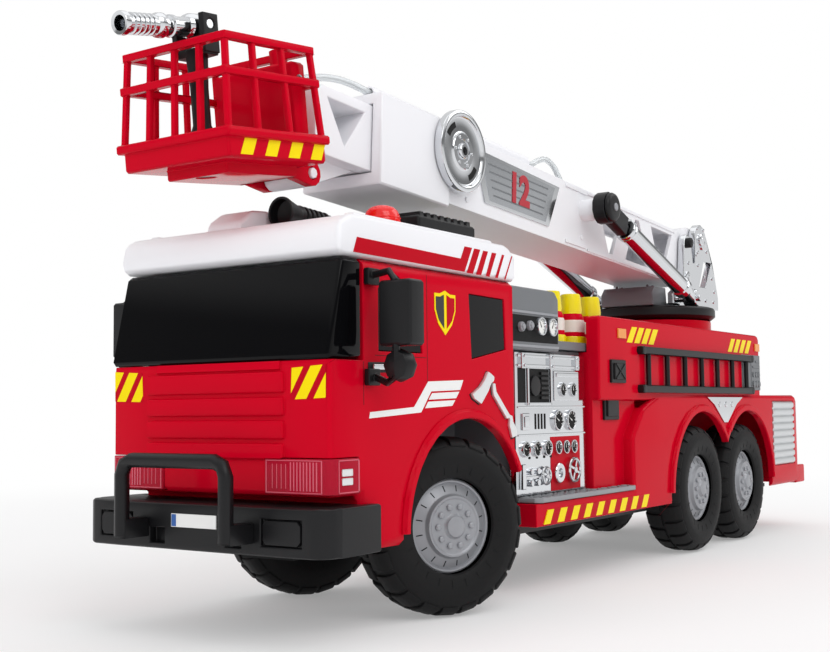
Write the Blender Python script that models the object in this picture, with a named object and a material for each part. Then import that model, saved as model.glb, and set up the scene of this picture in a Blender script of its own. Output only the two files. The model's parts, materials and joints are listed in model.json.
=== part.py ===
"""Toy fire engine with a steered front axle, a turntable, a telescopic boom and a rescue basket.

+X is forward, +Y is the vehicle's left and +Z is up. The origin is on the ground, under the middle of the
object's length. Lengths below are in millimetres, and MM turns them into Blender's metres.
"""

from math import atan2, cos, hypot, pi, radians, sin

import bmesh
import bpy
from mathutils import Matrix, Vector

MM = 0.001
GAP = 0.3

# Wheels and axles
WHEEL_RADIUS = 42
TYRE_HALF_WIDTH = 14
RIM_RADIUS = 21.5
TREAD_BLOCKS = 12
BLOCK_SHARE = 0.6
TREAD_DEPTH = 1.5
AXLE_HEIGHT = WHEEL_RADIUS * cos(pi * (1 - BLOCK_SHARE) / TREAD_BLOCKS)
AXLE_RADIUS = 3
WHEEL_Y = 50
REAR_AXLES_X = (-113, -200)
KINGPIN = (173, 30)
STEER_REST = radians(-23)
STEER_ARM = 14

# Body
HALF_WIDTH = 64
CHASSIS_BOTTOM = 30
SILL_BOTTOM = 35
SILL_TOP = 47
SILL_FRONT = 115
CAB_REAR = 134
CAB_FRONT = 282
CAB_WAIST = 116.5
CAB_TOP = 159
WINDSCREEN_BACK = 260
WINDSCREEN_TOP_X = 272.5
WALL = 3
ARCH_X = 180
ARCH_RADIUS = 50
ARCH_LIP = 3.5
ROOF_TOP = 177
HORN_X = 214
HORN_Y = 10
HORN_Z = 185
BUMPER_LOW = 38
BUMPER_HIGH = 57.5
BUMPER_FRONT = 293.5
BUMPER_HALF = 70
BULL_BAR_X = 306
BODY_FRONT = 36
BODY_REAR = -318
PLATFORM_REAR = -336.7
DECK_TOP = 148.5
DECK_REAR = -237
DECK_HALF = 62
FENDER_TOP = 103
FENDER_FRONT = -4
REAR_ARCH_RADIUS = 53.5
REAR_ARCH_Z = 40
PANEL_Y = 50

# Turntable, boom and basket
TURNTABLE_X = -181
TURNTABLE_RADIUS = 46.5
DRUM_TOP = 158
DISC_TOP = 168
BOOM_PIVOT = (-212, 0, 222)
BOOM_PITCH = radians(3.5)
BOOM_HALF = 22
BOOM_LOW = -38.5
BOOM_HIGH = 2
BOOM_LENGTH = 402
CYLINDER_FOOT = (-169, 174)
CYLINDER_HEAD = (-28, 221)
CYLINDER_Y = 37
WINCH = (336.5, -10.5)
WINCH_RADIUS = 22
GUIDE_START = 238
GUIDE_END = 396
GUIDE_RADIUS = 3.8
GUIDE_BORE = 2.4
HOSE_RADIUS = 1.8
HOSE_Y = 10
HOSE_Z = 8
HOSE_END_X = 246.6
HOSE_END_Z = 246
BASKET_HINGE = (233, 0, 205)
BASKET_PITCH = radians(6.5)
MONITOR_AT = 54
NOZZLE_HEIGHT = 62
NOZZLE_PITCH = radians(5.5)


for item in list(bpy.data.objects):
    bpy.data.objects.remove(item)


def finish(name, hex_colour, roughness, metallic=0.0, alpha=1.0):
    """A Principled material from an sRGB hex colour."""
    channels = [int(hex_colour[i : i + 2], 16) / 255 for i in (0, 2, 4)]
    linear = [c / 12.92 if c <= 0.04045 else ((c + 0.055) / 1.055) ** 2.4 for c in channels]
    material = bpy.data.materials.new(name)
    material.use_nodes = True
    shader = material.node_tree.nodes["Principled BSDF"]
    shader.inputs["Base Color"].default_value = (*linear, 1)
    shader.inputs["Roughness"].default_value = roughness
    shader.inputs["Metallic"].default_value = metallic
    shader.inputs["Alpha"].default_value = alpha
    return material


RED = finish("red_gloss_abs", "C4122A", 0.2)
WHITE = finish("white_abs", "EDEEF0", 0.3)
BLACK = finish("black_abs", "18191B", 0.45)
GLASS_BLACK = finish("black_gloss_window", "08090A", 0.06)
GREY = finish("grey_abs", "6C6F73", 0.45)
CHROME = finish("chrome_plated_abs", "D3D6DA", 0.12, 1.0)
SILVER = finish("silver_painted_abs", "B6B9BD", 0.35, 0.6)
RUBBER = finish("black_tyre", "1C1C1D", 0.8)
LENS = finish("clear_lens", "F2D6D6", 0.08, 0.0, 0.5)
BEACON_RED = finish("red_lens", "E01020", 0.1, 0.0, 0.8)
YELLOW = finish("yellow_abs", "F2D31C", 0.35)
HOSE = finish("clear_hose", "E9EDF0", 0.15, 0.0, 0.6)


def turned_to(axis):
    """The turn that takes +Z to the named axis."""
    return {"X": Matrix.Rotation(pi / 2, 4, "Y"), "Y": Matrix.Rotation(-pi / 2, 4, "X"), "Z": Matrix()}[axis]


def prism(outline, low, high, axis="Y", bevel=0.0):
    """A closed prism along an axis. Its outline is (x, z) along Y, (y, z) along X and (x, y) along Z."""
    orders = {"X": lambda a, b, c: (c, a, b), "Y": lambda a, b, c: (a, c, b), "Z": lambda a, b, c: (a, b, c)}
    order = orders[axis]
    shape = bmesh.new()
    face = shape.faces.new([shape.verts.new(order(a, b, low)) for a, b in outline])
    made = bmesh.ops.extrude_face_region(shape, geom=[face])["geom"]
    moved = [v for v in made if isinstance(v, bmesh.types.BMVert)]
    bmesh.ops.translate(shape, verts=moved, vec=order(0, 0, high - low))
    bmesh.ops.recalc_face_normals(shape, faces=shape.faces)
    if bevel:
        bmesh.ops.bevel(
            shape, geom=shape.edges[:], offset=bevel, segments=1, profile=0.5, affect="EDGES", material=-1
        )
    return shape


def box(low, high, bevel=0.0):
    """A block between two corners."""
    (x0, y0, z0), (x1, y1, z1) = low, high
    return prism([(x0, y0), (x1, y0), (x1, y1), (x0, y1)], z0, z1, "Z", bevel)


def turned(profile, centre=(0, 0, 0), axis="Z", steps=16, ring=False):
    """A solid of revolution from (radius, height) points. A ring's profile is a closed loop."""
    shape = bmesh.new()
    points = [shape.verts.new((radius, 0, height)) for radius, height in profile]
    loop = points + points[:1] if ring else points
    edges = [shape.edges.new(pair) for pair in zip(loop, loop[1:])]
    bmesh.ops.spin(
        shape, geom=points + edges, cent=(0, 0, 0), axis=(0, 0, 1), angle=2 * pi, steps=steps, use_merge=True
    )
    bmesh.ops.remove_doubles(shape, verts=shape.verts, dist=1e-4)
    bmesh.ops.recalc_face_normals(shape, faces=shape.faces)
    bmesh.ops.transform(shape, matrix=Matrix.Translation(centre) @ turned_to(axis), verts=shape.verts)
    return shape


def rod(radius, low, high, centre=(0, 0, 0), axis="Z", steps=12):
    """A round bar along an axis, from low to high past its centre."""
    return turned([(0, high), (radius, high), (radius, low), (0, low)], centre, axis, steps)


def tube(path, radius, sides=8):
    """A round bar swept along a path of points, with flat ends."""
    path = [Vector(point) for point in path]
    shape = bmesh.new()
    rings = []
    side = None
    for i, point in enumerate(path):
        ahead = (path[min(i + 1, len(path) - 1)] - path[max(i - 1, 0)]).normalized()
        side = side if side is not None else ahead.orthogonal()
        side = (side - ahead * side.dot(ahead)).normalized()
        up = ahead.cross(side)
        turn = [2 * pi * k / sides for k in range(sides)]
        rings.append([shape.verts.new(point + radius * (cos(a) * side + sin(a) * up)) for a in turn])
    for first, second in zip(rings, rings[1:]):
        for k in range(sides):
            n = (k + 1) % sides
            shape.faces.new((first[k], first[n], second[n], second[k]))
    shape.faces.new(rings[0])
    shape.faces.new(rings[-1])
    bmesh.ops.recalc_face_normals(shape, faces=shape.faces)
    return shape


def arc(centre, radius, start, end, steps):
    """Points of an arc, with its angles in degrees."""
    turn = [radians(start + (end - start) * i / steps) for i in range(steps + 1)]
    return [(centre[0] + radius * cos(a), centre[1] + radius * sin(a)) for a in turn]


def span(side, near, far):
    """Two distances from the middle as low and high y on one side of the vehicle."""
    return sorted((side * near, side * far))


def sided(outline):
    """An outline's mirror image across the middle of the vehicle, for (x, y) points."""
    return outline + [(x, -y) for x, y in reversed(outline)]


def place(name, shape, frame, collection):
    """An object from a shape in millimetres, standing in its own frame."""
    bmesh.ops.scale(shape, vec=(MM, MM, MM), verts=shape.verts)
    mesh = bpy.data.meshes.new(name)
    shape.to_mesh(mesh)
    shape.free()
    mesh.shade_smooth()
    mesh.set_sharp_from_angle(angle=radians(35))
    made = bpy.data.objects.new(name, mesh)
    collection.objects.link(made)
    made.matrix_world = frame
    return made


def make(name, base, material, add=(), cut=(), frame=Matrix()):
    """One node: the base shape with other shapes joined to it and then cut from it."""
    scene = bpy.context.scene.collection
    node = place(name, base, frame, scene)
    node.data.materials.append(material)
    for operation, shapes in (("UNION", add), ("DIFFERENCE", cut)):
        if not shapes:
            continue
        tools = bpy.data.collections.new(f"{name}_{operation.lower()}")
        scene.children.link(tools)
        for shape in shapes:
            tool = place(f"{name}_tool", shape, frame, tools)
            tool.data.materials.append(material)
            tool.hide_render = True
            tool.display_type = "WIRE"
        modifier = node.modifiers.new(operation.title(), "BOOLEAN")
        modifier.operation = operation
        modifier.operand_type = "COLLECTION"
        modifier.collection = tools
        modifier.solver = "EXACT"
    return node


def at(x, y, z, turn=0.0, axis="Z"):
    """A frame in metres at a place in millimetres, turned about one axis."""
    return Matrix.Translation(Vector((x, y, z)) * MM) @ Matrix.Rotation(turn, 4, axis)


SIDES = (("left", 1), ("right", -1))


# Chassis frame: floor, centre beam, rear axle block and the plates that hold the kingpins

def chassis():
    x_king, y_king = KINGPIN
    floor_top = SILL_BOTTOM - GAP
    add = [
        box((-64, -46, CHASSIS_BOTTOM), (SILL_FRONT - 1, 46, floor_top)),
        box((-306, -40, CHASSIS_BOTTOM + 1), (-255, 40, 33.6)),
        box((-262, -32, CHASSIS_BOTTOM + 0.4), (-60, 32, 60)),
        box((106, -15, CHASSIS_BOTTOM + 1), (150, 15, floor_top - 1)),
        box((x_king - 8, -y_king - 6.5, CHASSIS_BOTTOM), (x_king + 8, y_king + 6.5, 32.6)),
        box((x_king - 6, -14, 36), (x_king + 6, 14, 54)),
        box((x_king - 8, -y_king - 6.5, 51.4), (x_king + 8, y_king + 6.5, 55)),
        box((236, -40, 33.6), (261, 40, 37.6)),
    ]
    cut = [rod(AXLE_RADIUS + 0.4, -40, 40, (x, 0, AXLE_HEIGHT), "Y", 10) for x in REAR_AXLES_X]
    cut += [rod(2.5, -30, 30, (x_king, side * y_king, 45), steps=8) for _, side in SIDES]
    cut += [box((x - 24, -22, 48), (x + 24, 22, 70)) for x in REAR_AXLES_X]
    cut.append(box((8 - GAP, -30 - GAP, 20), (92 + GAP, 30 + GAP, 33)))
    make("chassis_frame", box((124, -15, CHASSIS_BOTTOM), (248, 15, 37.6)), BLACK, add, cut)
    ribs = [box((x, -24, CHASSIS_BOTTOM + 0.2), (x + 4, 24, 31.4)) for x in range(18, 84, 12)]
    make("battery_cover", box((8, -30, 31), (92, 30, 33 - GAP), 0.6), BLACK, ribs)


# Wheels: block-tread tyre, raised rim with a blind bore, rear axle rods, knuckles and tie rod

def tyre_shape():
    """A tyre whose two rows of tread blocks are half a block apart."""
    half = TYRE_HALF_WIDTH
    low = WHEEL_RADIUS - TREAD_DEPTH
    pitch = 2 * pi / TREAD_BLOCKS
    edge = BLOCK_SHARE / 2
    stations = ((-edge, True), (edge, True), (0.5, False))
    profile = ((RIM_RADIUS + GAP, -half + 2.5, False), (33, -half, False), (None, -half + 1.5, False),
               (None, -0.8, False), (None, 0.8, True), (None, half - 1.5, True),
               (33, half, True), (RIM_RADIUS + GAP, half - 2.5, True))
    shape = bmesh.new()
    rings = []
    for block in range(TREAD_BLOCKS):
        for share, raised in stations:
            ring = []
            for radius, across, staggered in profile:
                turn = (block + share + 0.5 * staggered) * pitch - pi / 2
                reach = radius or (WHEEL_RADIUS if raised else low)
                ring.append(shape.verts.new((reach * cos(turn), across, reach * sin(turn))))
            rings.append(ring)
    for first, second in zip(rings, rings[1:] + rings[:1]):
        for k in range(len(profile)):
            n = (k + 1) % len(profile)
            shape.faces.new((first[k], first[n], second[n], second[k]))
    bmesh.ops.recalc_face_normals(shape, faces=shape.faces)
    return shape


def rim_shape():
    """A rim with a raised middle. Its bore for the axle is open on the inner side only."""
    bore = AXLE_RADIUS + GAP
    profile = [(0, 14.6), (5.4, 14.6), (6.6, 12.4), (13.4, 12), (14.8, 9.8), (20, 7.4), (RIM_RADIUS, 8.6),
               (RIM_RADIUS, -11.4), (bore + 3, -3), (bore, -11), (bore, 6), (0, 6)]
    return turned(profile, (0, 0, 0), "Y", 14)


def wheel(name, frame):
    make(f"tyre_{name}", tyre_shape(), RUBBER, frame=frame)
    make(f"rim_{name}", rim_shape(), SILVER, frame=frame)


def running_gear():
    x_king, y_king = KINGPIN
    reach = WHEEL_Y - y_king
    for (side_name, side) in SIDES:
        steer = at(x_king, side * y_king, AXLE_HEIGHT, STEER_REST)
        hub = rod(5, -8.4, 9.2, steps=8)
        arm = box((-STEER_ARM - 4.5, -4, -1.6), (-2, 4, 1.6))
        stub = rod(AXLE_RADIUS, *span(side, 0, reach + 5.5), axis="Y", steps=8)
        pins = rod(2, -11.2, 12.6, steps=6)
        hole = rod(2.9, -4, 4, (-STEER_ARM, 0, 0), steps=8)
        make(f"steering_knuckle_{side_name}", hub, BLACK, [arm, stub, pins], [hole], steer)
        turn = Matrix() if side > 0 else Matrix.Rotation(pi, 4, "Z")
        wheel(f"front_{side_name}", steer @ at(0, side * reach, 0) @ turn)
    for row, x in zip(("middle", "rear"), REAR_AXLES_X):
        axle = rod(AXLE_RADIUS, -WHEEL_Y - 5.5, WHEEL_Y + 5.5, axis="Y", steps=10)
        make(f"{row}_axle", axle, SILVER, frame=at(x, 0, AXLE_HEIGHT))
        for (side_name, side) in SIDES:
            wheel(f"{row}_{side_name}", at(x, side * WHEEL_Y, AXLE_HEIGHT, 0 if side > 0 else pi))
    tie_x = x_king - STEER_ARM * cos(STEER_REST)
    tie_y = -STEER_ARM * sin(STEER_REST)
    bar = box((-2.5, -y_king - 3, 2), (2.5, y_king + 3, 5), 0.5)
    pegs = [rod(1.2, -1.5, 3, (0, side * y_king, 0), steps=6) for _, side in SIDES]
    make("tie_rod", bar, BLACK, pegs, frame=at(tie_x, tie_y, AXLE_HEIGHT))


# Cab: hollow shell with arches and louvres, roof cap, windscreen and side glass

def side_windows():
    """Outlines of the front and rear side windows, as (x, z)."""
    front = [(249, 121), (249, 147), (246, 150), (223, 150), (219, 146), (217, 121)]
    rear = [(177, 150), (145, 149.5), (144, 125), (175, 119.5)]
    return front, rear


def grown(outline, by):
    """An outline scaled about its middle, so that it clears the first by about the given gap."""
    x_mid = sum(x for x, _ in outline) / len(outline)
    z_mid = sum(z for _, z in outline) / len(outline)
    reach = max(abs(x - x_mid) for x, _ in outline)
    scale = 1 + by / reach
    return [(x_mid + (x - x_mid) * scale, z_mid + (z - z_mid) * scale) for x, z in outline]


def windscreen_outline(gap):
    """The raked block of the windscreen, as (x, z), smaller by a gap than its seat in the cab."""
    low = CAB_WAIST + gap
    back = WINDSCREEN_BACK + gap
    high = CAB_TOP - gap
    return [(back, low), (CAB_FRONT + 1.5, low), (WINDSCREEN_TOP_X + 1.5, high), (back, high)]


def cab():
    inner_z = CAB_TOP - WALL
    outline = [(CAB_REAR, 56), (CAB_REAR, CAB_TOP), (WINDSCREEN_TOP_X, CAB_TOP), (CAB_FRONT, CAB_WAIST),
               (CAB_FRONT, 61), (262, 61), (262, BUMPER_LOW), (230, BUMPER_LOW), (230, 56)]
    hollow = [(CAB_REAR + WALL, 20), (CAB_REAR + WALL, inner_z), (WINDSCREEN_BACK - 2 * WALL, inner_z),
              (WINDSCREEN_BACK - 2 * WALL, 70), (255, 60), (255, 20)]
    ring = arc((ARCH_X, AXLE_HEIGHT), ARCH_RADIUS + ARCH_LIP, 2, 152, 10)
    ring += arc((ARCH_X, AXLE_HEIGHT), ARCH_RADIUS - 1, 152, 2, 10)
    add = [prism(ring, *span(side, HALF_WIDTH - 2, HALF_WIDTH + 2)) for _, side in SIDES]
    louvres = ((103.5, 112), (94, 101.5), (84.5, 92), (76, 82.5))
    add += [box((CAB_FRONT - 3, -40, low), (CAB_FRONT + 1.8, 40, high), 0.8) for low, high in louvres]
    cowl = [(CAB_FRONT - 4, 113), (CAB_FRONT + 1.4, 113), (CAB_FRONT + 0.6, 118), (CAB_FRONT - 4, 118)]
    add.append(prism(cowl, -34, 38))
    cut = [
        prism(hollow, -HALF_WIDTH + WALL, HALF_WIDTH - WALL),
        rod(ARCH_RADIUS, -80, 80, (ARCH_X, 0, AXLE_HEIGHT), "Y", 32),
        prism(windscreen_outline(0), -80, 80),
    ]
    for _, side in SIDES:
        low, high = span(side, 14, HALF_WIDTH - WALL)
        cut.append(box((SILL_FRONT - 1, low, 20), (170, high, 92)))
    for outline_2d in side_windows():
        cut.append(prism(grown(outline_2d, GAP), -80, 80))
    for _, side in SIDES:
        cut.append(headlight_block(side, GAP))
    shell = prism(outline, -HALF_WIDTH, HALF_WIDTH, bevel=2.5)
    make("cab_shell", shell, RED, add, cut)
    make("windscreen", prism(windscreen_outline(GAP), -HALF_WIDTH, HALF_WIDTH, bevel=2), GLASS_BLACK)
    for side_name, side in SIDES:
        near, far = span(side, HALF_WIDTH - WALL - 3, HALF_WIDTH - WALL - GAP)
        back = box((140, near, 116), (253, far, 153))
        panes = [prism(window, *span(side, HALF_WIDTH - WALL - 1, HALF_WIDTH - 0.6))
                 for window in side_windows()]
        make(f"side_glass_{side_name}", back, GLASS_BLACK, panes)


def headlight_block(side, gap):
    """The wrap-round lens of one headlight, or its seat when a gap is given."""
    low_y, high_y = 30 - gap, HALF_WIDTH + 0.8 + gap
    outline = [(264 - gap, low_y + 6), (272 - gap, low_y), (CAB_FRONT + 1 + gap, low_y),
               (CAB_FRONT + 1 + gap, high_y - 4), (CAB_FRONT - 3 + gap, high_y), (264 - gap, high_y)]
    outline = [(x, side * y) for x, y in outline]
    return prism(outline, 62 - gap, 76.5 + gap, "Z")


def cab_fittings():
    cap = [(CAB_REAR - 1, CAB_TOP + GAP), (275, CAB_TOP + GAP), (277.5, 164), (275.5, 173), (268, ROOF_TOP),
           (140, ROOF_TOP), (CAB_REAR - 1, 172)]
    hump = [(236, ROOF_TOP - 2), (238, 184), (246, 187), (258, 186), (267, 180), (268, ROOF_TOP - 3)]
    add = [prism(hump, -19, 1, bevel=1.5)]
    for _, side in SIDES:
        low, high = span(side, 55, 61)
        add.append(box((150, low, ROOF_TOP - 2), (262, high, ROOF_TOP + 1.6), 0.8))
    make("cab_roof", prism(cap, -HALF_WIDTH - 0.5, HALF_WIDTH + 0.5, bevel=2), WHITE, add)
    for side_name, side in SIDES:
        make(f"headlight_{side_name}", headlight_block(side, 0), LENS)
        dome = [(0, 12), (5, 11.4), (8, 8.5), (8.8, 0), (0, 0)]
        light = turned(dome, (216, side * 42, ROOF_TOP + GAP), "Z", 10)
        foot = box((201, side * 42 - 10, ROOF_TOP + GAP), (231, side * 42 + 10, ROOF_TOP + 3))
        make(f"beacon_{side_name}", light, BEACON_RED, [foot])
        mirror(side_name, side)
    bell = [(0, 36), (7.6, 36), (7, 33), (5, 27)]
    for i in range(3):
        bell += [(5 - 0.3 * i, 24 - 6 * i), (4 - 0.3 * i, 21.5 - 6 * i)]
    bell += [(3.2, 0), (0, 0)]
    feet = (HORN_X + 3, HORN_X + 21)
    stand = [box((x, HORN_Y - 3, ROOF_TOP + GAP), (x + 5, HORN_Y + 3, HORN_Z - 2)) for x in feet]
    make("air_horn", turned(bell, (HORN_X, HORN_Y, HORN_Z), "X", 8), BLACK, stand)
    fins = [box((x, -42, 188), (x + 3.2, 42, 191)) for x in range(140, 184, 6)]
    make("roof_vent", box((136, -43, ROOF_TOP + GAP), (188, 43, 189), 1.5), BLACK, fins)


def mirror(side_name, side):
    """A tube bracket on the cab corner with an upright housing and a round mirror under it."""
    post_y = side * 80
    wall_y = side * (HALF_WIDTH + 1.5)
    bracket = tube([(256, wall_y, 152), (258, side * 76, 153), (259, post_y, 149), (259, post_y, 122),
                    (259, post_y, 110), (257, side * 74, 107), (255, wall_y, 110)], 1.7, 6)
    low, high = span(side, 72, 88.5)
    housing = box((250, low, 122), (261, high, 149), 1.2)
    lower = turned([(0, 261), (6, 260), (7, 256), (6.4, 253), (0, 253)], (0, post_y, 114), "X", 8)
    near, far = span(side, HALF_WIDTH + GAP, 67)
    feet = [box((252, near, z), (260, far, z + 7)) for z in (106, 148)]
    make(f"mirror_{side_name}", bracket, BLACK, [housing, lower] + feet)


def front_end():
    bend_x, bend_y = BUMPER_FRONT - 11, BUMPER_HALF - 11
    half = [(262.4, 0), (262.4, 64.4), (256, 64.4), (256, BUMPER_HALF), (bend_x, BUMPER_HALF)]
    half += arc((bend_x, bend_y), 11, 90, 20, 4) + [(BUMPER_FRONT, 48), (BUMPER_FRONT, 0)]
    outline = half[1:-1] + [(x, -y) for x, y in reversed(half[1:-1])]
    cut = []
    for _, side in SIDES:
        near, far = span(side, 37, 58)
        cut.append(box((BUMPER_FRONT - 2, near, 42), (BUMPER_FRONT + 2, far, 53)))
        cut.append(box((BUMPER_FRONT - 4, side * 22 - 4.5, 40.5), (BUMPER_FRONT + 2, side * 22 + 4.5, 47)))
    make("front_bumper", prism(outline, BUMPER_LOW, BUMPER_HIGH, "Z", 0.8), BLACK, cut=cut)
    bar_x, bar_y, bar_top, bar_low = BULL_BAR_X, 30, 76, 44
    bend = 6
    half_route = [(-bar_y, bar_low), (-bar_y, bar_top - bend), (-bar_y + 1.8, bar_top - 1.8),
                  (-bar_y + bend, bar_top)]
    route = [(bar_x, y, z) for y, z in half_route + [(-y, z) for y, z in reversed(half_route)]]
    stubs = []
    for _, side in SIDES:
        low, high = span(side, bar_y - 3.4, bar_y + 3.4)
        stubs.append(box((BUMPER_FRONT + GAP, low, bar_low - 1), (bar_x + 1, high, bar_low + 7)))
    make("bull_bar", tube(route, 3.2, 8), BLACK, stubs)


# Pump section: housing with the gauge box, panels, running boards and the bottle rack

def pump_section():
    front = CAB_REAR - 0.4
    core = box((BODY_FRONT + GAP, -PANEL_Y + 0.4, SILL_TOP + 0.4), (front, PANEL_Y - 0.4, 127.6))
    gauge_face = [(74, 126), (front, 126), (front, 159), (78, 159), (74, 155)]
    top = prism(gauge_face, -57, 57, bevel=1)
    dials = [rod(4.6, -58.2, 58.2, (x, 0, 139), "Y", 8) for x in (85, 97.3)]
    knobs = [rod(2.2, -59.5, 59.5, (x, 0, z), "Y", 6) for x, z in ((108, 139), (117, 138))]
    wells = []
    for _, side in SIDES:
        low, high = span(side, 14, 60)
        wells.append(box((SILL_FRONT - 1, low, 40), (140, high, 92)))
    make("pump_housing", core, GREY, [top] + dials + knobs, wells)
    for side_name, side in SIDES:
        face = side * (PANEL_Y + 4)
        near, far = span(side, PANEL_Y, PANEL_Y + 4)
        plate = box((38, near, 50.4), (118, far, 125.6), 0.6)
        proud = span(side, PANEL_Y + 1, PANEL_Y + 5.6)
        dial_places = [(57.5, 89.2, 5.6), (72.6, 89.2, 5.6), (57, 61.8, 6), (73.4, 60.8, 5.2)]
        dial_places += [(x, 74.6, 4) for x in (55.8, 65, 74, 85, 96.8, 108.6)]
        add = [rod(radius, *proud, (x, 0, z), "Y", 8) for x, z, radius in dial_places]
        rail_y = face + side * 3
        add.append(tube([(44, rail_y, 121), (114, rail_y, 121)], 1.5, 6))
        add += [tube([(x, face - side, 121), (x, rail_y, 121)], 1.4, 4) for x in (46, 112)]
        near, far = span(side, PANEL_Y + 2, PANEL_Y + 6)
        cut = [box((82, near, 99), (104.5, far, 116.5))]
        make(f"pump_panel_{side_name}", plate, CHROME, add, cut)
        inner, outer = PANEL_Y + 0.4, HALF_WIDTH + 1
        front_end_x = SILL_FRONT - 1.5
        board = [(-3.4, 57.4), (BODY_FRONT + 0.4, 57.4), (BODY_FRONT + 0.4, inner), (front_end_x, inner),
                 (front_end_x, outer - 3), (front_end_x - 4, outer), (-3.4, outer)]
        board = [(x, side * y) for x, y in board]
        make(f"running_board_{side_name}", prism(board, SILL_TOP + GAP, SILL_TOP + 3, "Z", 0.4), GREY)
    bottle = [(0, 162), (3, 162), (3.4, 156), (7.2, 152), (7.5, 131), (0, 131)]
    bottles = [turned(bottle, (x, side * 41, 0), "Z", 8) for x in (54, 29, 4) for _, side in SIDES]
    make("bottle_rack", box((-17.6, -53.4, 128), (73.4, 53.4, 133), 0.6), YELLOW, bottles)


# Rear body: hollow red moulding with the deck, twin arches, sill and platform, and what is fixed to it

def rear_body():
    bottom = SILL_BOTTOM
    fender = [(FENDER_FRONT, bottom), (FENDER_FRONT, 78), (-20, 95), (-44, FENDER_TOP),
              (BODY_REAR + 4, FENDER_TOP + 1), (BODY_REAR, FENDER_TOP - 3), (BODY_REAR, bottom)]
    slope = [(DECK_REAR + 5, 96), (DECK_REAR + 5, 136), (DECK_REAR - 8, 130), (DECK_REAR - 18, 98)]
    add = [
        prism(fender, -HALF_WIDTH, HALF_WIDTH, bevel=2),
        box((-70, -57, bottom + 0.5), (BODY_FRONT - 0.2, 57, 106)),
        box((-60, -HALF_WIDTH + 0.3, bottom + 0.2), (SILL_FRONT, HALF_WIDTH - 0.3, SILL_TOP)),
        box((PLATFORM_REAR, -HALF_WIDTH + 1, 34), (BODY_REAR + 3, HALF_WIDTH - 1, 48), 0.8),
        rod(TURNTABLE_RADIUS - 3, DECK_TOP - 2, DRUM_TOP, (TURNTABLE_X, 0, 0), "Z", 28),
        prism(slope, -50, 50),
    ]
    cut = [
        box((BODY_REAR + WALL, -HALF_WIDTH + WALL, 20), (-72, HALF_WIDTH - WALL, FENDER_TOP - WALL)),
        box((DECK_REAR + WALL, -DECK_HALF + WALL, 60), (-22, DECK_HALF - WALL, DECK_TOP - WALL)),
        box((-80, -54, 20), (BODY_FRONT - WALL, 54, 124)),
        box((-19, -54, 127.6), (BODY_FRONT + 10, 54, 170)),
        rod(10.4, 120, 170, (TURNTABLE_X, 0, 0), "Z", 16),
    ]
    for x in REAR_AXLES_X:
        ring = arc((x, REAR_ARCH_Z), REAR_ARCH_RADIUS + ARCH_LIP, 3, 177, 11)
        ring += arc((x, REAR_ARCH_Z), REAR_ARCH_RADIUS - 1, 177, 3, 11)
        add += [prism(ring, *span(side, HALF_WIDTH - 2, HALF_WIDTH + 2)) for _, side in SIDES]
        cut.append(rod(REAR_ARCH_RADIUS, -80, 80, (x, 0, REAR_ARCH_Z), "Y", 28))
    for _, side in SIDES:
        low, high = span(side, 62.4, 70)
        cut.append(box((-309, low, 50), (-258, high, 99.5)))
    make("rear_body", upper_deck(), RED, add, cut)
    for side_name, side in SIDES:
        slats = [(side * 62.8, 50.4)]
        for i in range(9):
            low = 50.4 + i * 5.4
            slats += [(side * 63.4, low), (side * 64.6, low + 1.4)]
            slats += [(side * 64.6, low + 4), (side * 63.4, low + 5.3)]
        slats += [(side * 62.8, 99)]
        make(f"shutter_{side_name}", prism(slats, -308.6, -258.4, "X"), SILVER)
        ladder(side_name, side)


def upper_deck():
    """The wider part of the deck above the fenders."""
    outline = [(BODY_FRONT - 0.01, 100), (BODY_FRONT, DECK_TOP - 2), (BODY_FRONT - 2, DECK_TOP),
               (DECK_REAR + 3, DECK_TOP), (DECK_REAR, DECK_TOP - 3), (DECK_REAR, 100)]
    return prism(outline, -DECK_HALF, DECK_HALF, bevel=1.2)


def ladder(side_name, side):
    """A stowed ladder with seven rungs, on stand-offs from the deck's side."""
    inner, outer = DECK_HALF + GAP, DECK_HALF + 4
    near, far = span(side, inner, outer)
    rails = [box((-214, near, z), (-16, far, z + 4.5)) for z in (104.6, 128)]
    rungs = [rod(1.8, 106, 131, (x, side * (inner + outer) / 2, 0), "Z", 5) for x in range(-202, -20, 29)]
    make(f"side_ladder_{side_name}", rails[0], BLACK, [rails[1]] + rungs)


# Turntable with the mast bracket and console

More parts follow.
